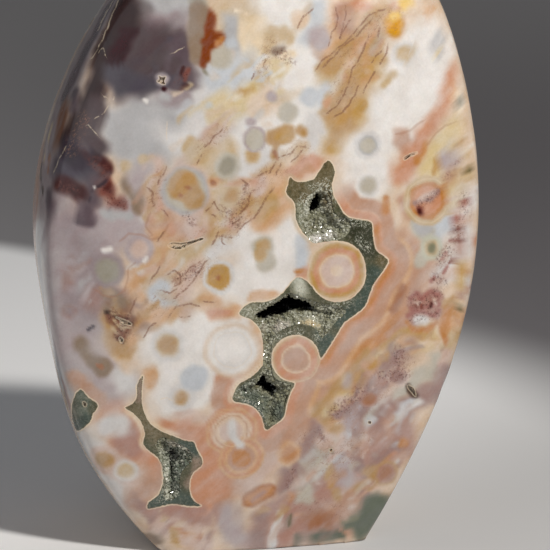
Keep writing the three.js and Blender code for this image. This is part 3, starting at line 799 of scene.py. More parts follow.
# The colours inside the green: the same form as the clouds.
GREEN_CLOUDS = [
    ("moss", 400, [(275, 300)]),
    ("olive", 13, [(328, 164), (322, 180), (330, 190)]),
    ("olive", 12, [(290, 182), (296, 190), (300, 196)]),
    ("sage", 4, [(298, 206), (302, 230)]),
    ("deep moss", 12, [(346, 222), (368, 236), (366, 248)]),
    ("olive", 7, [(384, 256), (378, 266)]),
    ("teal", 11, [(374, 276), (366, 302), (344, 318)]),
    ("moss", 8, [(290, 331), (316, 330)]),
    ("teal", 9, [(322, 336), (328, 346)]),
    ("teal", 9, [(248, 400), (266, 410), (276, 418)]),
    ("sage", 5, [(236, 396), (250, 394)]),
    ("sage", 6, [(290, 386), (276, 376), (266, 356), (270, 342)]),
    ("frost", 7, [(296, 280), (302, 290)]),
    ("sage", 6, [(242, 313), (252, 308), (262, 330)]),
    ("olive", 13, [(132, 404), (146, 420), (160, 436)]),
    ("taupe", 5, [(140, 384), (140, 398)]),
    ("taupe", 6, [(196, 452), (198, 466), (190, 484)]),
    ("teal", 11, [(156, 502), (178, 500), (196, 504)]),
    ("teal", 8, [(184, 446), (194, 448)]),
    ("jade", 9, [(84, 396), (82, 414)]),
    ("teal", 7, [(88, 420), (78, 428)]),
]

# Where pale frost flecks the green: radius and route.
FROST = [
    (5, [(350, 221), (366, 224)]),
    (5, [(360, 240), (368, 248)]),
    (7, [(304, 200), (304, 222), (316, 236)]),
    (5, [(312, 186), (326, 182), (336, 200)]),
    (6, [(246, 312), (262, 306), (280, 300)]),
    (6, [(348, 302), (334, 304), (326, 326), (318, 336)]),
    (5, [(300, 332), (272, 340), (266, 366)]),
    (5, [(238, 394), (252, 400), (268, 420)]),
    (5, [(160, 446), (166, 470), (162, 500)]),
]

# The colours of the druzy crusts.
CRUST_CLOUDS = [
    ("sage", 400, [(275, 300)]),
    ("olive", 9, [(326, 188), (330, 204)]),
    ("frost", 5, [(306, 214), (306, 200), (318, 190)]),
    ("sage", 9, [(316, 222), (330, 220)]),
    ("frost", 3.5, [(329, 226), (347, 219)]),
    ("white", 6, [(316, 238), (334, 232)]),
    ("ash", 7, [(268, 330), (284, 324)]),
    ("frost", 7, [(302, 314), (318, 318), (330, 310)]),
    ("straw", 4, [(304, 320), (318, 325)]),
    ("sage", 6, [(270, 334), (269, 360)]),
    ("jade", 9, [(246, 390), (262, 402), (276, 412)]),
    ("sage", 4, [(262, 400), (272, 410)]),
    ("jade", 16, [(178, 456), (180, 484)]),
    ("frost", 4.5, [(164, 450), (168, 466), (167, 480)]),
    ("frost", 4, [(168, 488), (169, 500)]),
    ("grey green", 3.5, [(166, 444), (188, 448)]),
    ("frost", 7, [(300, 294), (294, 286)]),
    ("sage", 8, [(244, 312), (256, 306)]),
]


def unit(vector):
    vector = np.asarray(vector, float)
    return vector / np.linalg.norm(vector)


def surface_reach(directions):
    """Distance from the heart to the polished surface, in millimetres, along each unit direction."""
    total = np.zeros(len(directions))
    for facing, reach, dome in CUTS.values():
        along = directions @ unit(facing)
        if dome == FLAT:
            nearness = np.clip(along, 0, None) / reach
        else:
            centre = reach - dome
            q = along * centre
            nearness = 1 / (q + np.sqrt(q * q - centre * centre + dome * dome))
        total += nearness**CREASE
    return total ** (-1 / CREASE) * POLISH_SCALE


def on_surface(points):
    """The points, in millimetres, moved along their rays from the heart onto the polished surface."""
    offsets = points - HEART
    directions = offsets / np.linalg.norm(offsets, axis=1, keepdims=True)
    return HEART + directions * surface_reach(directions)[:, None]


def depth_inside(points):
    """How far each point lies under the polished surface, measured along its ray from the heart."""
    offsets = points - HEART
    lengths = np.linalg.norm(offsets, axis=1)
    return surface_reach(offsets / lengths[:, None]) - lengths


def front_y(x, z):
    """y of the polished front at x, z, for arrays, by halving."""
    x = np.atleast_1d(np.asarray(x, float))
    z = np.atleast_1d(np.asarray(z, float))
    outside = np.full(len(x), -60.0)
    inside = np.full(len(x), HEART[1])
    for _ in range(26):
        middle = (outside + inside) / 2
        out = depth_inside(np.stack([x, middle, z], 1)) < 0
        outside = np.where(out, middle, outside)
        inside = np.where(out, inside, middle)
    return inside


def view_axes():
    """Camera place, and its right, up and back directions, in millimetres."""
    a = math.radians(VIEW_AZIMUTH)
    e = math.radians(VIEW_ELEVATION)
    back = np.array([math.sin(a) * math.cos(e), -math.cos(a) * math.cos(e), math.sin(e)])
    right = np.array([math.cos(a), math.sin(a), 0.0])
    return np.array(VIEW_TARGET) + back * VIEW_DISTANCE, right, np.cross(back, right), back


def seen(points):
    """Where points, in millimetres, lie in the photograph: pixels across, down and away."""
    place, right, up, back = view_axes()
    offsets = points - place
    away = -(offsets @ back)
    scale = IMAGE_PIXELS * VIEW_DISTANCE / IMAGE_WIDTH_MM
    middle = IMAGE_PIXELS / 2
    across = middle + offsets @ right / away * scale
    down = middle - offsets @ up / away * scale
    return np.stack([across, down, away / PIXEL_MM], 1)


def on_face(pixels):
    """The places on the stone, in millimetres, that pixels of the photograph show."""
    pixels = np.atleast_2d(np.asarray(pixels, float))
    place, right, up, back = view_axes()
    scale = IMAGE_WIDTH_MM / IMAGE_PIXELS / VIEW_DISTANCE
    middle = IMAGE_PIXELS / 2
    rays = (
        -back
        + right * (pixels[:, :1] - middle) * scale
        - up * (pixels[:, 1:] - middle) * scale
    )
    near = np.full(len(pixels), VIEW_DISTANCE - 60.0)
    far = np.full(len(pixels), VIEW_DISTANCE + 10.0)
    for _ in range(30):
        middle_t = (near + far) / 2
        out = depth_inside(place + rays * middle_t[:, None]) < 0
        near = np.where(out, middle_t, near)
        far = np.where(out, far, middle_t)
    return place + rays * far[:, None]


def smooth_outline(points, per_point=5):
    """A closed Catmull-Rom curve through the points."""
    points = np.array(points, float)
    count = len(points)
    t = np.linspace(0, count, per_point * count, endpoint=False)
    i = t.astype(int)
    f = (t - i)[:, None]
    a, b, c, d = (points[(i + k) % count] for k in (-1, 0, 1, 2))
    return 0.5 * (2 * b + (c - a) * f + (2 * a - 5 * b + 4 * c - d) * f**2 + (3 * b - a - 3 * c + d) * f**3)


def smooth_step(low, high, value):
    t = np.clip((value - low) / (high - low), 0, 1)
    return t * t * (3 - 2 * t)


def signed_distance(points, outline):
    """Distance from 2-D points to a closed outline, positive inside it."""
    best = np.full(len(points), 1e9)
    inside = np.zeros(len(points), bool)
    for a, b in zip(outline, np.roll(outline, -1, 0)):
        edge = b - a
        t = np.clip(((points - a) @ edge) / (edge @ edge), 0, 1)
        best = np.minimum(best, np.linalg.norm(points - a - t[:, None] * edge, axis=1))
        crosses = (a[1] > points[:, 1]) != (b[1] > points[:, 1])
        if edge[1] != 0:
            inside ^= crosses & (points[:, 0] < edge[0] * (points[:, 1] - a[1]) / edge[1] + a[0])
    return np.where(inside, best, -best)


def route_distance(points, route):
    """Distance from points to a route of one or more places."""
    best = np.linalg.norm(points - route[0], axis=1)
    for a, b in zip(route, route[1:]):
        edge = b - a
        t = np.clip(((points - a) @ edge) / (edge @ edge), 0, 1)
        best = np.minimum(best, np.linalg.norm(points - a - t[:, None] * edge, axis=1))
    return best


def new_object(name, bm):
    mesh = bpy.data.meshes.new(name)
    bm.to_mesh(mesh)
    bm.free()
    made = bpy.data.objects.new(name, mesh)
    bpy.context.collection.objects.link(made)
    return made


def coordinates(mesh):
    """The mesh's vertices as an array, in millimetres."""
    flat = np.empty(len(mesh.vertices) * 3)
    mesh.vertices.foreach_get("co", flat)
    return flat.reshape(-1, 3) / MM


def runs_along(edge, axis):
    return abs((edge.verts[0].co - edge.verts[1].co)[axis]) > 1e-6


def near_front(face):
    """Whether a face of the block's top or bottom ends up on the stone's front or left."""
    middle = face.calc_center_median()
    if face.normal.z > 0.5:
        return middle.y < 0
    return face.normal.z < -0.5 and (middle.y < -10 or middle.x < -22)


def polished_block():
    """The stone before its hollows are cut, as a bmesh in metres, with a finer front and left side."""
    bm = bmesh.new()
    bmesh.ops.create_cube(bm, size=1.0)
    bmesh.ops.scale(bm, vec=Vector(BLOCK_MM), verts=bm.verts)
    bmesh.ops.translate(bm, vec=(0, 0, BLOCK_MM[2] / 2), verts=bm.verts)
    for axis, cuts in enumerate(BLOCK_CUTS):
        along = [e for e in bm.edges if runs_along(e, axis)]
        bmesh.ops.subdivide_edges(bm, edges=along, cuts=cuts, use_grid_fill=True)
    bm.normal_update()
    deep = {e for f in bm.faces if near_front(f) for e in f.edges if runs_along(e, 1)}
    bmesh.ops.subdivide_edges(bm, edges=list(deep), cuts=1, use_grid_fill=True)
    bm.normal_update()
    fine = [f for f in bm.faces if f.normal.y < -0.5 or f.normal.x < -0.5 or near_front(f)]
    edges = {e for f in fine for e in f.edges}
    bmesh.ops.subdivide_edges(bm, edges=list(edges), cuts=1, use_grid_fill=True)
    places = on_surface(np.array([v.co for v in bm.verts]))
    for vert, place in zip(bm.verts, places):
        vert.co = Vector(place) * MM
    bmesh.ops.bisect_plane(
        bm, geom=[*bm.verts, *bm.edges, *bm.faces], plane_co=(0, 0, 0), plane_no=(0, 0, -1), clear_outer=True
    )
    edge = [e for e in bm.edges if e.is_boundary]
    base = bmesh.ops.contextual_create(bm, geom=edge)["faces"]
    bmesh.ops.bevel(
        bm, geom=base[0].edges[:], offset=BASE_BEVEL * MM, affect="EDGES", segments=2, profile=0.5, material=-1
    )
    bmesh.ops.recalc_face_normals(bm, faces=bm.faces)
    return bm


def outline_prism(bm, outline, front, floor):
    """Adds a closed block behind a flat outline, from y = front back to y = floor, in millimetres."""
    ring = [bm.verts.new(Vector((x, front, z)) * MM) for x, z in outline]
    face = bm.faces.new(ring)
    pushed = bmesh.ops.extrude_face_region(bm, geom=[face])["geom"]
    moved = [v for v in pushed if isinstance(v, bmesh.types.BMVert)]
    bmesh.ops.translate(bm, vec=(0, (floor - front) * MM, 0), verts=moved)
    bmesh.ops.recalc_face_normals(bm, faces=bm.faces)


def cut_away(target, cutter):
    """Applies a boolean difference to the target and deletes the cutter."""
    cut = target.modifiers.new("cut", "BOOLEAN")
    cut.operation = "DIFFERENCE"
    cut.solver = "EXACT"
    cut.object = cutter
    graph = bpy.context.evaluated_depsgraph_get()
    mesh = bpy.data.meshes.new_from_object(target.evaluated_get(graph))
    target.modifiers.clear()
    old = target.data
    target.data = mesh
    bpy.data.meshes.remove(old)
    bpy.data.objects.remove(cutter)


def make_stone():
    stone = new_object("jasper_stone", polished_block())
    openings = bmesh.new()
    for hollow in HOLLOWS.values():
        polish = front_y(*hollow["rim"][0])[0]
        floor = polish + max(depth for depth, _ in hollow["wells"]) + 1
        outline_prism(openings, smooth_outline(hollow["rim"]), -40, floor)
    for depth, outline in PITS:
        places = on_face(outline)
        outline_prism(openings, smooth_outline(places[:, [0, 2]], 3), -40, places[:, 1].mean() + depth)
    cut_away(stone, new_object("openings", openings))
    for polygon in stone.data.polygons:
        polygon.use_smooth = True
    stone.data.set_sharp_from_angle(angle=math.radians(40))
    return stone


def to_linear(srgb):
    srgb = np.asarray(srgb, float) / 255
    return np.where(srgb <= 0.04045, srgb / 12.92, ((srgb + 0.055) / 1.055) ** 2.4)


def wobbled(points, size, amount, seed):
    """Points moved a little by smooth noise: its size and amount are in the points' own units."""
    shift = Vector((seed * 17.3, seed * 5.1, seed * 9.7))
    moves = np.array([noise.noise_vector(Vector(p) / size + shift) for p in points])
    return points + moves * amount


def lay(colours, cover, colour):
    """Blends a colour in, as far as its cover reaches."""
    colours += (np.array(COLOURS[colour], float) - colours) * cover[:, None]


def disc_cover(points, route, radius, softness):
    return 1 - smooth_step(radius - softness, radius + softness, route_distance(points, route))


def paint_clouds(colours, points, clouds, share=0.55, most=14):
    for colour, radius, pixels in clouds:
        lay(colours, disc_cover(points, seen(on_face(pixels)), radius, min(radius * share, most)), colour)


def paint_bands(colours, points, outside):
    for colour, near, far, radius, pixels in BANDS:
        band = smooth_step(near - 2, near + 2, outside) * (1 - smooth_step(far - 2.5, far + 2.5, outside))
        lay(colours, band * disc_cover(points, seen(on_face(pixels)), radius, radius * 0.5), colour)


def paint_streaks(colours, points, chance):
    slant = np.array(STREAK_SLANT)
    for count, spread, route, names in STREAKS:
        for _ in range(count):
            leg = chance.randrange(len(route) - 1)
            share = chance.random()
            middle = np.array(route[leg]) * (1 - share) + np.array(route[leg + 1]) * share
            middle = middle + (chance.gauss(0, spread * 0.6), chance.gauss(0, spread * 0.6))
            half = slant * chance.uniform(1, 9)
            radius = chance.uniform(1.5, 4)
            stroke = seen(on_face([middle - half, middle + half]))
            cover = disc_cover(points, stroke, radius, radius * 0.8) * chance.uniform(0.3, 0.8)
            lay(colours, cover, chance.choice(names))


def hidden_places(chance, count):
    """Places on the flanks and the back, spread at random, as seen() gives them."""
    places = []
    while len(places) < count:
        way = np.array([chance.gauss(0, 1) for _ in range(3)]) * (1, 1, 1.2)
        place = on_surface((HEART + unit(way))[None])[0]
        if place[1] > -4 and place[2] > 2:
            places.append(place)
    return seen(np.array(places))


HIDDEN_CLOUDS = ("milk", "pale lilac", "peach", "salmon", "pale rose", "white", "flesh", "straw", "rose", "white")
HIDDEN_ORBS = [
    [(26, "white"), (10, "tan")],
    [(22, "milk"), (12, "ash"), (9, "grey green")],
    [(28, "pale peach"), (20, "salmon"), (13, "pale peach"), (10, "rose")],
    [(18, "peach"), (9, "terracotta")],
    [(24, "white"), (13, "ochre"), (6, "tan")],
    [(15, "pale lilac"), (7, "mauve")],
]


def outside_green(points):
    """Distance from each point to the edge of the green, in photograph pixels, negative inside it."""
    spots = seen(points)[:, :2]
    inside = np.max([signed_distance(spots, smooth_outline(outline, 3)) for outline in GREENS], 0)
    return -inside + smooth_step(0, 6, points[:, 1]) * 70


def jasper_colours(points, outside):
    """The body colour at each point of the stone, as sRGB."""
    chance = random.Random(7)
    spots = seen(points)
    rough = wobbled(wobbled(spots, 40, 10, 1), 12, 4, 2)
    fine = wobbled(wobbled(spots, 16, 2.2, 3), 6, 1, 9)
    colours = np.tile(np.array(COLOURS["pale peach"], float), (len(points), 1))
    for place in hidden_places(chance, 130):
        lay(colours, disc_cover(rough, place[None], chance.uniform(18, 50), 12), chance.choice(HIDDEN_CLOUDS))
    for place in hidden_places(chance, 80):
        size = chance.uniform(0.5, 1.1)
        for radius, colour in chance.choice(HIDDEN_ORBS):
            lay(colours, disc_cover(fine, place[None], radius * size, 3), colour)
    paint_clouds(colours, rough, CLOUDS)
    paint_bands(colours, fine, outside)
    paint_streaks(colours, rough, chance)
    for route in VEINS:
        lay(colours, disc_cover(rough, seen(on_face(route)), 4, 3.5) * 0.4, "tan")
    for orbs, softness in ((SOFT_ORBS, 3.2), (ORBS, 1.6)):
        for centre, rings in orbs:
            place = seen(on_face(centre))
            for radius, colour in rings:
                lay(colours, disc_cover(fine, place, radius, min(softness, radius * 0.5)), colour)
    paint_clouds(colours, fine, MARKS, 0.75, 3)
    return colours


def pit_edge(points):
    """Signed distance to the pits' outlines, in millimetres, positive inside."""
    spots = seen(points)[:, :2]
    inside = np.max([signed_distance(spots, smooth_outline(outline, 3)) for _, outline in PITS], 0)
    return inside * PIXEL_MM - smooth_step(0, 6, points[:, 1]) * 12


def line_offsets(points, routes, size, amount):
    """Signed distance to the nearest of the lines, in millimetres, and how strongly it shows there."""
    flat = wobbled(seen(points), size, amount, 4)[:, :2]
    offset = np.full(len(points), 9.0)
    for route in routes:
        route = np.array(route, float)
        for a, b in zip(route, route[1:]):
            edge = b - a
            t = np.clip(((flat - a) @ edge) / (edge @ edge), 0, 1)
            away = flat - a - t[:, None] * edge
            side = np.sign(edge[0] * away[:, 1] - edge[1] * away[:, 0])
            gap = np.linalg.norm(away, axis=1) * PIXEL_MM
            offset = np.where(gap < np.abs(offset), gap * side, offset)
    return offset, line_strength(offset) * (points[:, 1] < 0)


def line_strength(offset):
    """1 near a line and 0 where another one may be as near, so that no false line shows between them."""
    return 1 - smooth_step(0.3, 0.46, np.abs(offset))


def ring_offsets(points):
    """Signed distance to the nearest thin ring line, in millimetres, and how strongly it shows there."""
    fine = wobbled(wobbled(seen(points), 16, 2.2, 3), 6, 1, 9)
    offset = np.full(len(points), 9.0)
    for centre, radius in RING_LINES:
        gap = (np.linalg.norm(fine - seen(on_face(centre)), axis=1) - radius) * PIXEL_MM
        offset = np.where(np.abs(gap) < np.abs(offset), gap, offset)
    return offset, line_strength(offset)


def grain_cover(points, stretches):
    """How thickly grains lie at each point, from 0 to 1."""
    spots = wobbled(seen(points), 8, 3, 5)
    cover = np.zeros(len(points))
    for radius, pixels in stretches:
        gap = route_distance(spots, seen(on_face(pixels)))
        cover = np.maximum(cover, 1 - smooth_step(radius * 0.5, radius * 1.3, gap))
    return cover


def add_number(mesh, name, values):
    layer = mesh.attributes.new(name, "FLOAT", "POINT")
    layer.data.foreach_set("value", np.asarray(values, np.float32))


def add_colour(mesh, name, srgb):
    layer = mesh.attributes.new(name, "FLOAT_COLOR", "POINT")
    linear = np.concatenate([to_linear(srgb), np.ones((len(srgb), 1))], 1)
    layer.data.foreach_set("color", linear.astype(np.float32).ravel())


def paint_stone(mesh):
    points = coordinates(mesh)
    outside = outside_green(points)
    add_colour(mesh, "body", jasper_colours(points, outside))
    inner = np.zeros((len(points), 3))
    paint_clouds(inner, wobbled(seen(points), 20, 5, 6), GREEN_CLOUDS)
    add_colour(mesh, "green", inner)
    add_number(mesh, "green_edge", -outside * PIXEL_MM)
    add_number(mesh, "pit_edge", pit_edge(points))
    add_number(mesh, "depth", depth_inside(points))
    lines = {name: line_offsets(points, VEINS[i :: len(VEIN_SETS)], 9, 1.6) for i, name in enumerate(VEIN_SETS)}
    lines["contour"] = line_offsets(points, CONTOURS, 12, 1.5)
    lines["hairline_and_glint"] = line_offsets(points, HAIRLINES_AND_GLINTS, 7, 1.2)
    lines["ring"] = ring_offsets(points)
    for name, (offset, strength) in lines.items():
        add_number(mesh, name, offset)
        add_number(mesh, name + "_strength", strength)
    add_number(mesh, "grains", grain_cover(points, GRAINS))
    add_number(mesh, "stretched", grain_cover(points, STRETCHED))
    add_number(mesh, "frost", grain_cover(points, FROST))


def crust_depth(hollow, x, z):
    """How deep the crust's surface lies under the polish at each x, z, in millimetres."""
    flat = np.stack([x, z], 1)
    from_rim = signed_distance(flat, smooth_outline(hollow["rim"]))
    lumps = np.array([noise.noise(Vector((a * 0.9, b * 0.9, 3.7))) for a, b in flat])
    depth = LIP_DEPTH + (LEDGE_DEPTH - LIP_DEPTH) * smooth_step(0, 1.8, from_rim) + lumps * 0.45
    for well, throat in hollow["wells"]:
        from_throat = signed_distance(flat, smooth_outline(throat))
        depth = depth + (well - 2.5) * smooth_step(-0.25, 0.55, from_throat)
    return np.maximum(depth, LIP_DEPTH * 0.6)


def crust_sheet(hollow):
    """The crust's body as a closed bmesh shell in metres, reaching a little behind the rim."""
    rim = smooth_outline(hollow["rim"])
    low = rim.min(0) - 0.5
    size = rim.max(0) + 0.5 - low
    bm = bmesh.new()
    bmesh.ops.create_grid(
        bm, x_segments=int(size[0] / SHEET_SPACING), y_segments=int(size[1] / SHEET_SPACING), size=0.5
    )
    flat = np.array([v.co[:2] for v in bm.verts]) * size + low + size / 2
    keep = signed_distance(flat, rim) > -0.3
    y = front_y(flat[:, 0], flat[:, 1]) + crust_depth(hollow, flat[:, 0], flat[:, 1])
    for vert, (x, z), deep in zip(bm.verts, flat, y):
        vert.co = Vector((x, deep, z)) * MM
    bmesh.ops.delete(bm, geom=[v for v, kept in zip(bm.verts, keep) if not kept], context="VERTS")
    front = bm.faces[:]
    behind = bmesh.ops.extrude_face_region(bm, geom=front, use_keep_orig=True)["geom"]
    moved = [v for v in behind if isinstance(v, bmesh.types.BMVert)]
    bmesh.ops.translate(bm, vec=(0, SHEET_THICKNESS * MM, 0), verts=moved)
    bmesh.ops.recalc_face_normals(bm, faces=bm.faces)
    return bm, [(face.calc_center_median(), face.normal.copy(), face.calc_area() / MM**2) for face in front]


def quartz_point():
    """One six-sided quartz point of radius 1 and height 1 as vertex places and faces."""
    bm = bmesh.new()
    bmesh.ops.create_cone(bm, segments=6, radius1=1, radius2=0.92, depth=0.45, cap_ends=True)
    roof = max(bm.faces, key=lambda face: face.calc_center_median().z)
    tip = bmesh.ops.poke(bm, faces=[roof])["verts"][0]
    tip.co = Vector((0.06, 0.03, 0.8))
    bmesh.ops.recalc_face_normals(bm, faces=bm.faces)
    bm.verts.index_update()
    places = np.array([v.co for v in bm.verts]) + (0, 0, 0.2)
    faces = [[v.index for v in face.verts] for face in bm.faces]
    bm.free()
    return places, faces


def make_crust(name, hollow, seed):
    """A hollow's crust: the lumpy sheet with quartz points grown all over it."""
    chance = random.Random(seed)
    sheet, ledges = crust_sheet(hollow)
    places, faces = quartz_point()
    rooms = depth_inside(np.array([centre for centre, _, _ in ledges]) / MM)
    all_places = []
    all_faces = []
    shades = []
    for (centre, normal, area), room in zip(ledges, rooms):
        for _ in range(int(min(area, 0.2) / CRYSTAL_SPACING**2 + chance.random())):
            radius = chance.uniform(*CRYSTAL_RADIUS) * chance.choice((0.7, 1, 1, 1.35))
            height = min(radius * chance.uniform(1.1, 2.0), room * 0.75)
            lean = Vector([chance.gauss(0, 0.35) for _ in range(3)])
            twist = Quaternion((0, 0, 1), chance.uniform(0, math.tau))
            turn = (normal + lean).to_track_quat("Z", "Y") @ twist
            scaled = places * (min(radius, room * 0.8) * MM, min(radius, room * 0.8) * MM, height * MM)
            start = len(all_places) * len(places)
            all_places.append(scaled @ np.array(turn.to_matrix()).T + np.array(centre))
            all_faces.extend([start + i for i in face] for face in faces)
            shades.append(chance.random())
    sheet_size = len(sheet.verts)
    crystals = bpy.data.meshes.new("crystals")
    crystals.from_pydata(np.concatenate(all_places).tolist(), [], all_faces)
    sheet.from_mesh(crystals)
    bpy.data.meshes.remove(crystals)
    crust = new_object(name, sheet)
    points = coordinates(crust.data)
    colours = np.zeros((len(points), 3))
    paint_clouds(colours, wobbled(seen(points), 8, 3, 8), CRUST_CLOUDS)
    add_colour(crust.data, "body", colours)
    add_number(crust.data, "depth", depth_inside(points))
    add_number(crust.data, "shade", [0.4] * sheet_size + list(np.repeat(shades, len(places))))
    return crust


class Nodes:
    """A small helper that adds shader nodes to a tree and links them."""

    def __init__(self, tree):
        self.tree = tree

    def add(self, kind, settings=None, **inputs):
        node = self.tree.nodes.new(kind)
        for name, value in (settings or {}).items():
            setattr(node, name, value)
        for name, value in inputs.items():
            socket = node.inputs[int(name[1:])] if name[0] == "_" else node.inputs[name.replace("_", " ")]
            self.fill(socket, value)
        return node

    def fill(self, socket, value):
        if isinstance(value, bpy.types.NodeSocket):
            self.tree.links.new(value, socket)
        else:
            socket.default_value = value

    def maths(self, operation, *values):
        node = self.add("ShaderNodeMath", {"operation": operation})
        for socket, value in zip(node.inputs, values):
            self.fill(socket, value)
        return node.outputs[0]

    def ramp(self, value, low, high, start=0.0, end=1.0):
        """The value's place between low and high, eased, as start to end."""
        node = self.add("ShaderNodeMapRange", {"interpolation_type": "SMOOTHSTEP"})
        for socket, number in zip(node.inputs, (value, low, high, start, end)):
            self.fill(socket, number)
        return node.outputs["Result"]

    def blend(self, factor, under, over, mode="MIX"):
        node = self.add("ShaderNodeMix", {"data_type": "RGBA", "blend_type": mode})
        self.fill(node.inputs["Factor"], factor)
        self.fill(node.inputs["A"], under)
        self.fill(node.inputs["B"], over)
        return node.outputs["Result"]

    def noise(self, place, scale, detail=3.0, roughness=0.5):
        node = self.add("ShaderNodeTexNoise", Vector=place, Scale=scale, Detail=detail, Roughness=roughness)
        return node.outputs["Fac"]

    def attribute(self, name, output="Fac"):
        return self.add("ShaderNodeAttribute", {"attribute_name": name}).outputs[output]

    def place_mm(self):
        """Object coordinates in millimetres."""
        where = self.add("ShaderNodeTexCoord").outputs["Object"]
        return self.add("ShaderNodeMapping", Vector=where, Scale=(1000, 1000, 1000)).outputs["Vector"]


def colour(name):
    return (*to_linear(COLOURS[name]), 1)


def mineral_grain():
    """A group that varies a colour as fine natural mottling does: soft cloudiness, grain and flecks."""
    tree = bpy.data.node_groups.new("mineral grain", "ShaderNodeTree")
    for name, kind in (("Colour", "Color"), ("Place", "Vector"), ("Strength", "Float"), ("Scale", "Float")):
        tree.interface.new_socket(name, in_out="INPUT", socket_type="NodeSocket" + kind)
    for name, kind in (("Colour", "Color"), ("Height", "Float")):
        tree.interface.new_socket(name, in_out="OUTPUT", socket_type="NodeSocket" + kind)
    nodes = Nodes(tree)
    given = nodes.add("NodeGroupInput").outputs
    place = nodes.add("ShaderNodeVectorMath", {"operation": "SCALE"}, _0=given["Place"], Scale=given["Scale"])
    place = place.outputs[0]
    cloud = nodes.noise(place, 0.35, 4, 0.55)
    grain = nodes.noise(place, 2.6, 5, 0.65)
    both = nodes.maths("ADD", nodes.maths("MULTIPLY", cloud, 0.8), nodes.maths("MULTIPLY", grain, 0.55))
    swing = nodes.maths("MULTIPLY", nodes.maths("SUBTRACT", both, 0.675), given["Strength"])
    bright = nodes.maths("ADD", 1.0, swing)
    tinted = nodes.add("ShaderNodeHueSaturation", Color=given["Colour"], Value=bright)
    warm = nodes.maths("ADD", 1.0, nodes.maths("MULTIPLY", swing, -0.5))
    nodes.fill(tinted.inputs["Saturation"], warm)
    out = nodes.add("NodeGroupOutput")
    nodes.fill(out.inputs["Colour"], tinted.outputs[0])
    nodes.fill(out.inputs["Height"], grain)
    return tree


def use_grain(nodes, group, base, place, strength, scale):
    node = nodes.add("ShaderNodeGroup", {"node_tree": group})
    for name, value in (("Colour", base), ("Place", place), ("Strength", strength), ("Scale", scale)):
        nodes.fill(node.inputs[name], value)
    return node.outputs["Colour"], node.outputs["Height"]


def new_material(name):
    made = bpy.data.materials.new(name)
    made.use_nodes = True
    return made, Nodes(made.node_tree), made.node_tree.nodes["Principled BSDF"]


def line_mask(nodes, name, width, soft):
    """How strongly a named line covers each place: its half width and its soft edge, in millimetres."""
    gap = nodes.maths("ABSOLUTE", nodes.attribute(name))
    thin = nodes.ramp(gap, nodes.maths("ADD", width, soft), width)
    return nodes.maths("MULTIPLY", thin, nodes.attribute(name + "_strength"))


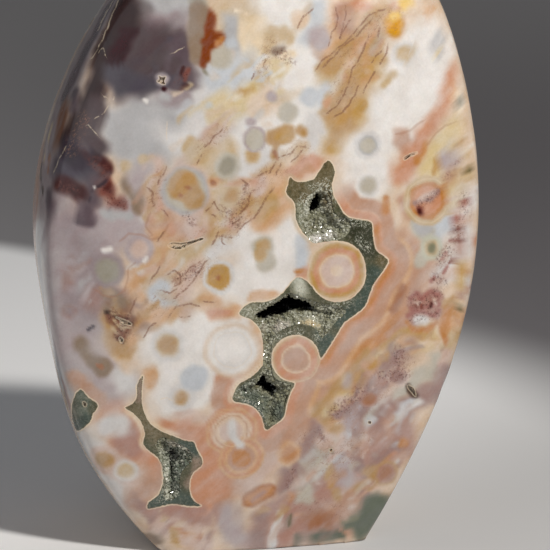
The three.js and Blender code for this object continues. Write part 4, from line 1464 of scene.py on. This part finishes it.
def jasper_material(grain_group):
    made, nodes, shader = new_material("polished jasper")
    place = nodes.place_mm()
    body, height = use_grain(nodes, grain_group, nodes.attribute("body", "Color"), place, 0.42, 1.0)

    slanted = nodes.add(
        "ShaderNodeMapping", {"vector_type": "TEXTURE"}, Vector=place, Rotation=SLANT_TURN, Scale=SLANT_STRETCH
    ).outputs["Vector"]
    flow = nodes.noise(slanted, 0.4, 3, 0.5)
    shaded = nodes.add("ShaderNodeHueSaturation", Color=body)
    nodes.fill(shaded.inputs["Value"], nodes.ramp(flow, 0.3, 0.7, 0.97, 1.03))
    nodes.fill(shaded.inputs["Saturation"], nodes.ramp(flow, 0.3, 0.7, 1.16, 0.8))
    body = shaded.outputs[0]

    stretched = nodes.attribute("stretched")
    for scale, thickness, name, amount in ((0.9, 0.02, "umber", 0.55), (1.7, 0.03, "terracotta", 0.5)):
        level = nodes.maths("ABSOLUTE", nodes.maths("SUBTRACT", nodes.noise(slanted, scale, 3, 0.6), 0.5))
        line = nodes.maths("MULTIPLY", nodes.ramp(level, thickness, 0.0), stretched)
        gaps = nodes.ramp(nodes.noise(place, scale, 2), 0.42, 0.6, 0.0, amount)
        body = nodes.blend(nodes.maths("MULTIPLY", line, gaps), body, colour(name))

    ring = line_mask(nodes, "ring", 0.05, 0.17)
    body = nodes.blend(nodes.maths("MULTIPLY", ring, 0.25), body, colour("cream"))

    contour = line_mask(nodes, "contour", 0.05, 0.3)
    body = nodes.blend(nodes.maths("MULTIPLY", contour, 0.35), body, colour("terracotta"))

    broken = nodes.ramp(nodes.noise(place, 1.1, 4, 0.7), 0.34, 0.54, 0.1, 1.0)
    width = nodes.maths("MULTIPLY", nodes.ramp(nodes.noise(place, 2.6, 2), 0.35, 0.7), 0.12)
    for name in VEIN_SETS:
        vein = nodes.maths("MULTIPLY", line_mask(nodes, name, width, 0.22), broken)
        body = nodes.blend(nodes.maths("MULTIPLY", vein, 0.68), body, colour("umber"))

    # Cream hairlines; along the top of the left edge these are painted highlights.
    hairline_glint_cover = nodes.maths("MULTIPLY", line_mask(nodes, "hairline_and_glint", 0.03, 0.14), 0.55)
    body = nodes.blend(nodes.maths("MULTIPLY", hairline_glint_cover, broken), body, colour("cream"))

    crowd = nodes.attribute("grains")
    patchy = nodes.ramp(nodes.noise(place, 1.5, 4, 0.7), 0.45, 0.62)
    body = nodes.blend(nodes.maths("MULTIPLY", nodes.maths("MULTIPLY", crowd, patchy), 0.45), body, colour("brick"))
    for scale, size in ((1.7, 0.46), (3.1, 0.34)):
        cells = nodes.add("ShaderNodeTexVoronoi", Vector=place, Scale=scale, Randomness=1.0)
        speck = nodes.ramp(cells.outputs["Distance"], nodes.maths("MULTIPLY", crowd, size), 0.0)
        body = nodes.blend(nodes.maths("MULTIPLY", speck, 0.6), body, colour("maroon"))

    edge_noise = nodes.maths("MULTIPLY", nodes.maths("SUBTRACT", nodes.noise(place, 1.6, 5, 0.65), 0.5), 0.42)
    edge = nodes.maths("ADD", nodes.attribute("green_edge"), edge_noise)
    inside = nodes.ramp(edge, -0.02, 0.07)
    rim_strength = nodes.ramp(nodes.noise(place, 0.45, 2), 0.3, 0.6, 0.35, 0.95)
    rim = nodes.maths("MULTIPLY", nodes.ramp(edge, -0.26, -0.12), rim_strength)
    body = nodes.blend(rim, body, colour("cream"))

    green, _ = use_grain(nodes, grain_group, nodes.attribute("green", "Color"), place, 1.6, 1.3)
    mottle = nodes.noise(place, 1.9, 5, 0.75)
    green = nodes.blend(nodes.ramp(mottle, 0.5, 0.64, 0.0, 0.35), green, colour("grey green"))
    green = nodes.blend(nodes.ramp(mottle, 0.48, 0.36, 0.0, 0.6), green, colour("deep moss"))
    flecks = nodes.ramp(nodes.noise(place, 3.2, 4, 0.8), 0.5, 0.6)
    green = nodes.blend(nodes.maths("MULTIPLY", flecks, nodes.attribute("frost")), green, colour("frost"))
    green = nodes.blend(nodes.ramp(edge, 0.3, 0.05, 0.0, 0.3), green, colour("olive"))
    body = nodes.blend(inside, body, green)

    pit = nodes.maths("ADD", nodes.attribute("pit_edge"), edge_noise)
    glitter = nodes.noise(place, 2.2, 4, 0.7)
    body = nodes.blend(nodes.ramp(pit, -0.28, -0.1, 0.0, 0.45), body, colour("cream"))
    hole = nodes.blend(nodes.ramp(glitter, 0.46, 0.56), colour("pit brown"), colour("cream"))
    hole = nodes.blend(nodes.ramp(glitter, 0.44, 0.36), hole, colour("deep moss"))
    body = nodes.blend(nodes.ramp(pit, -0.06, 0.08), body, hole)
    nodes.fill(shader.inputs["Base Color"], body)

    roughness = nodes.ramp(nodes.noise(place, 0.6, 4), 0.3, 0.7, 0.14, 0.22)
    nodes.fill(shader.inputs["Roughness"], roughness)
    shader.inputs["Subsurface Weight"].default_value = 0.22
    shader.inputs["Subsurface Scale"].default_value = 0.0016
    shader.inputs["Subsurface Radius"].default_value = (1.0, 0.7, 0.5)
    shader.inputs["IOR"].default_value = 1.54
    bump = nodes.add("ShaderNodeBump", Height=height, Strength=0.02, Distance=0.0002)
    nodes.fill(shader.inputs["Normal"], bump.outputs["Normal"])
    return made


def druzy_material(grain_group):
    made, nodes, shader = new_material("druzy quartz")
    place = nodes.place_mm()
    base, height = use_grain(nodes, grain_group, nodes.attribute("body", "Color"), place, 1.2, 1.8)
    shade = nodes.attribute("shade")
    base = nodes.blend(nodes.ramp(shade, 0.3, 1.0, 0.0, 0.65), base, colour("frost"))
    base = nodes.blend(nodes.ramp(shade, 0.3, 0.0, 0.0, 0.35), base, colour("olive"))
    # Painted shade: the crust fades to near-black where it lies deep in the wells.
    base = nodes.blend(nodes.ramp(nodes.attribute("depth"), 2.3, 4.0), base, colour("well shade"))
    nodes.fill(shader.inputs["Base Color"], base)
    nodes.fill(shader.inputs["Roughness"], nodes.ramp(height, 0.3, 0.7, 0.14, 0.34))
    shader.inputs["IOR"].default_value = 1.54
    shader.inputs["Coat Weight"].default_value = 0.3
    shader.inputs["Coat Roughness"].default_value = 0.05
    return made


def make_camera():
    place, right, up, back = view_axes()
    camera = bpy.data.objects.new("camera", bpy.data.cameras.new("camera"))
    bpy.context.collection.objects.link(camera)
    camera.data.angle = 2 * math.atan(IMAGE_WIDTH_MM / 2 / VIEW_DISTANCE)
    camera.location = Vector(place) * MM
    camera.rotation_euler = Vector(-back).to_track_quat("-Z", "Y").to_euler()
    camera.data.clip_start = 0.01
    camera.data.clip_end = 20
    bpy.context.scene.camera = camera


def area_light(name, azimuth, elevation, distance, size, power, tone):
    """A square soft light aimed at the stone's middle, placed by the camera's own angles."""
    a = math.radians(azimuth)
    e = math.radians(elevation)
    away = Vector((math.sin(a) * math.cos(e), -math.cos(a) * math.cos(e), math.sin(e)))
    light = bpy.data.objects.new(name, bpy.data.lights.new(name, "AREA"))
    bpy.context.collection.objects.link(light)
    light.data.size = size
    light.data.energy = power
    light.data.color = tone
    light.location = Vector((0, 0, 0.055)) + away * distance
    light.rotation_euler = away.to_track_quat("Z", "Y").to_euler()


def make_stage():
    """A wide floor with a low rim: pale like a table round the stone, dark beyond it."""
    bm = bmesh.new()
    profile = [bm.verts.new(place) for place in ((0, 0, 0), (FLOOR_RADIUS * 0.8, 0, 0))]
    for step in range(1, 9):
        turn = math.radians(70 * step / 8)
        reach = FLOOR_RADIUS * (0.8 + 0.2 * math.sin(turn))
        profile.append(bm.verts.new((reach, 0, FLOOR_RIM * (1 - math.cos(turn)))))
    edges = [bm.edges.new(pair) for pair in zip(profile, profile[1:])]
    bmesh.ops.spin(
        bm, geom=[*profile, *edges], cent=(0, 0, 0), axis=(0, 0, 1), angle=math.tau, steps=72, use_duplicate=False
    )
    bmesh.ops.remove_doubles(bm, verts=bm.verts, dist=1e-5)
    bmesh.ops.recalc_face_normals(bm, faces=bm.faces)
    floor = new_object("floor", bm)
    for polygon in floor.data.polygons:
        polygon.use_smooth = True
    made, nodes, shader = new_material("floor")
    where = nodes.add("ShaderNodeTexCoord").outputs["Object"]
    centred = nodes.add("ShaderNodeMapping", Vector=where, Location=(-TABLE_CENTRE[0], -TABLE_CENTRE[1], 0))
    away = nodes.add("ShaderNodeVectorMath", {"operation": "LENGTH"}, _0=centred.outputs["Vector"])
    across, deep, _ = nodes.add("ShaderNodeSeparateXYZ", Vector=where).outputs
    blur = nodes.ramp(across, -0.03, 0.09, 0.009, 0.03)
    outer = nodes.maths("ADD", TABLE_RADIUS, blur)
    inner = nodes.maths("SUBTRACT", TABLE_RADIUS, blur)
    near_right = nodes.maths("SUBTRACT", across, nodes.maths("MULTIPLY", deep, 1.2))
    # Painted shade: the table darkens towards its near right.
    pale = nodes.blend(nodes.ramp(near_right, -0.08, 0.06), PALE_FLOOR, SHADED_NEAR_FLOOR)
    dark = nodes.blend(nodes.ramp(across, -0.08, 0.12), DARK_FLOOR, DARKEST_FLOOR)
    dark = nodes.blend(nodes.ramp(deep, 0.3, 1.1), dark, FAR_FLOOR)
    tone = nodes.blend(nodes.ramp(away.outputs["Value"], outer, inner), dark, pale)
    nodes.fill(shader.inputs["Base Color"], tone)
    shader.inputs["Roughness"].default_value = 0.7
    floor.data.materials.append(made)


def make_world():
    world = bpy.data.worlds.new("studio")
    bpy.context.scene.world = world
    world.use_nodes = True
    world.node_tree.nodes["Background"].inputs["Color"].default_value = (0.8, 0.82, 0.86, 1)
    world.node_tree.nodes["Background"].inputs["Strength"].default_value = WORLD_STRENGTH


make_camera()
make_world()
make_stage()
for light_name, settings in LIGHTS.items():
    area_light(light_name, *settings)

grain = mineral_grain()
stone = make_stone()
paint_stone(stone.data)
stone.data.materials.append(jasper_material(grain))
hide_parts("stone")
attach(stone, "root")

druzy = druzy_material(grain)
for number, (node, hollow) in enumerate(HOLLOWS.items()):
    crust = make_crust(node + "_crystals", hollow, number + 1)
    crust.data.materials.append(druzy)
    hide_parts(node)
    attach(crust, "root")

bpy.context.scene.view_settings.view_transform = "Standard"
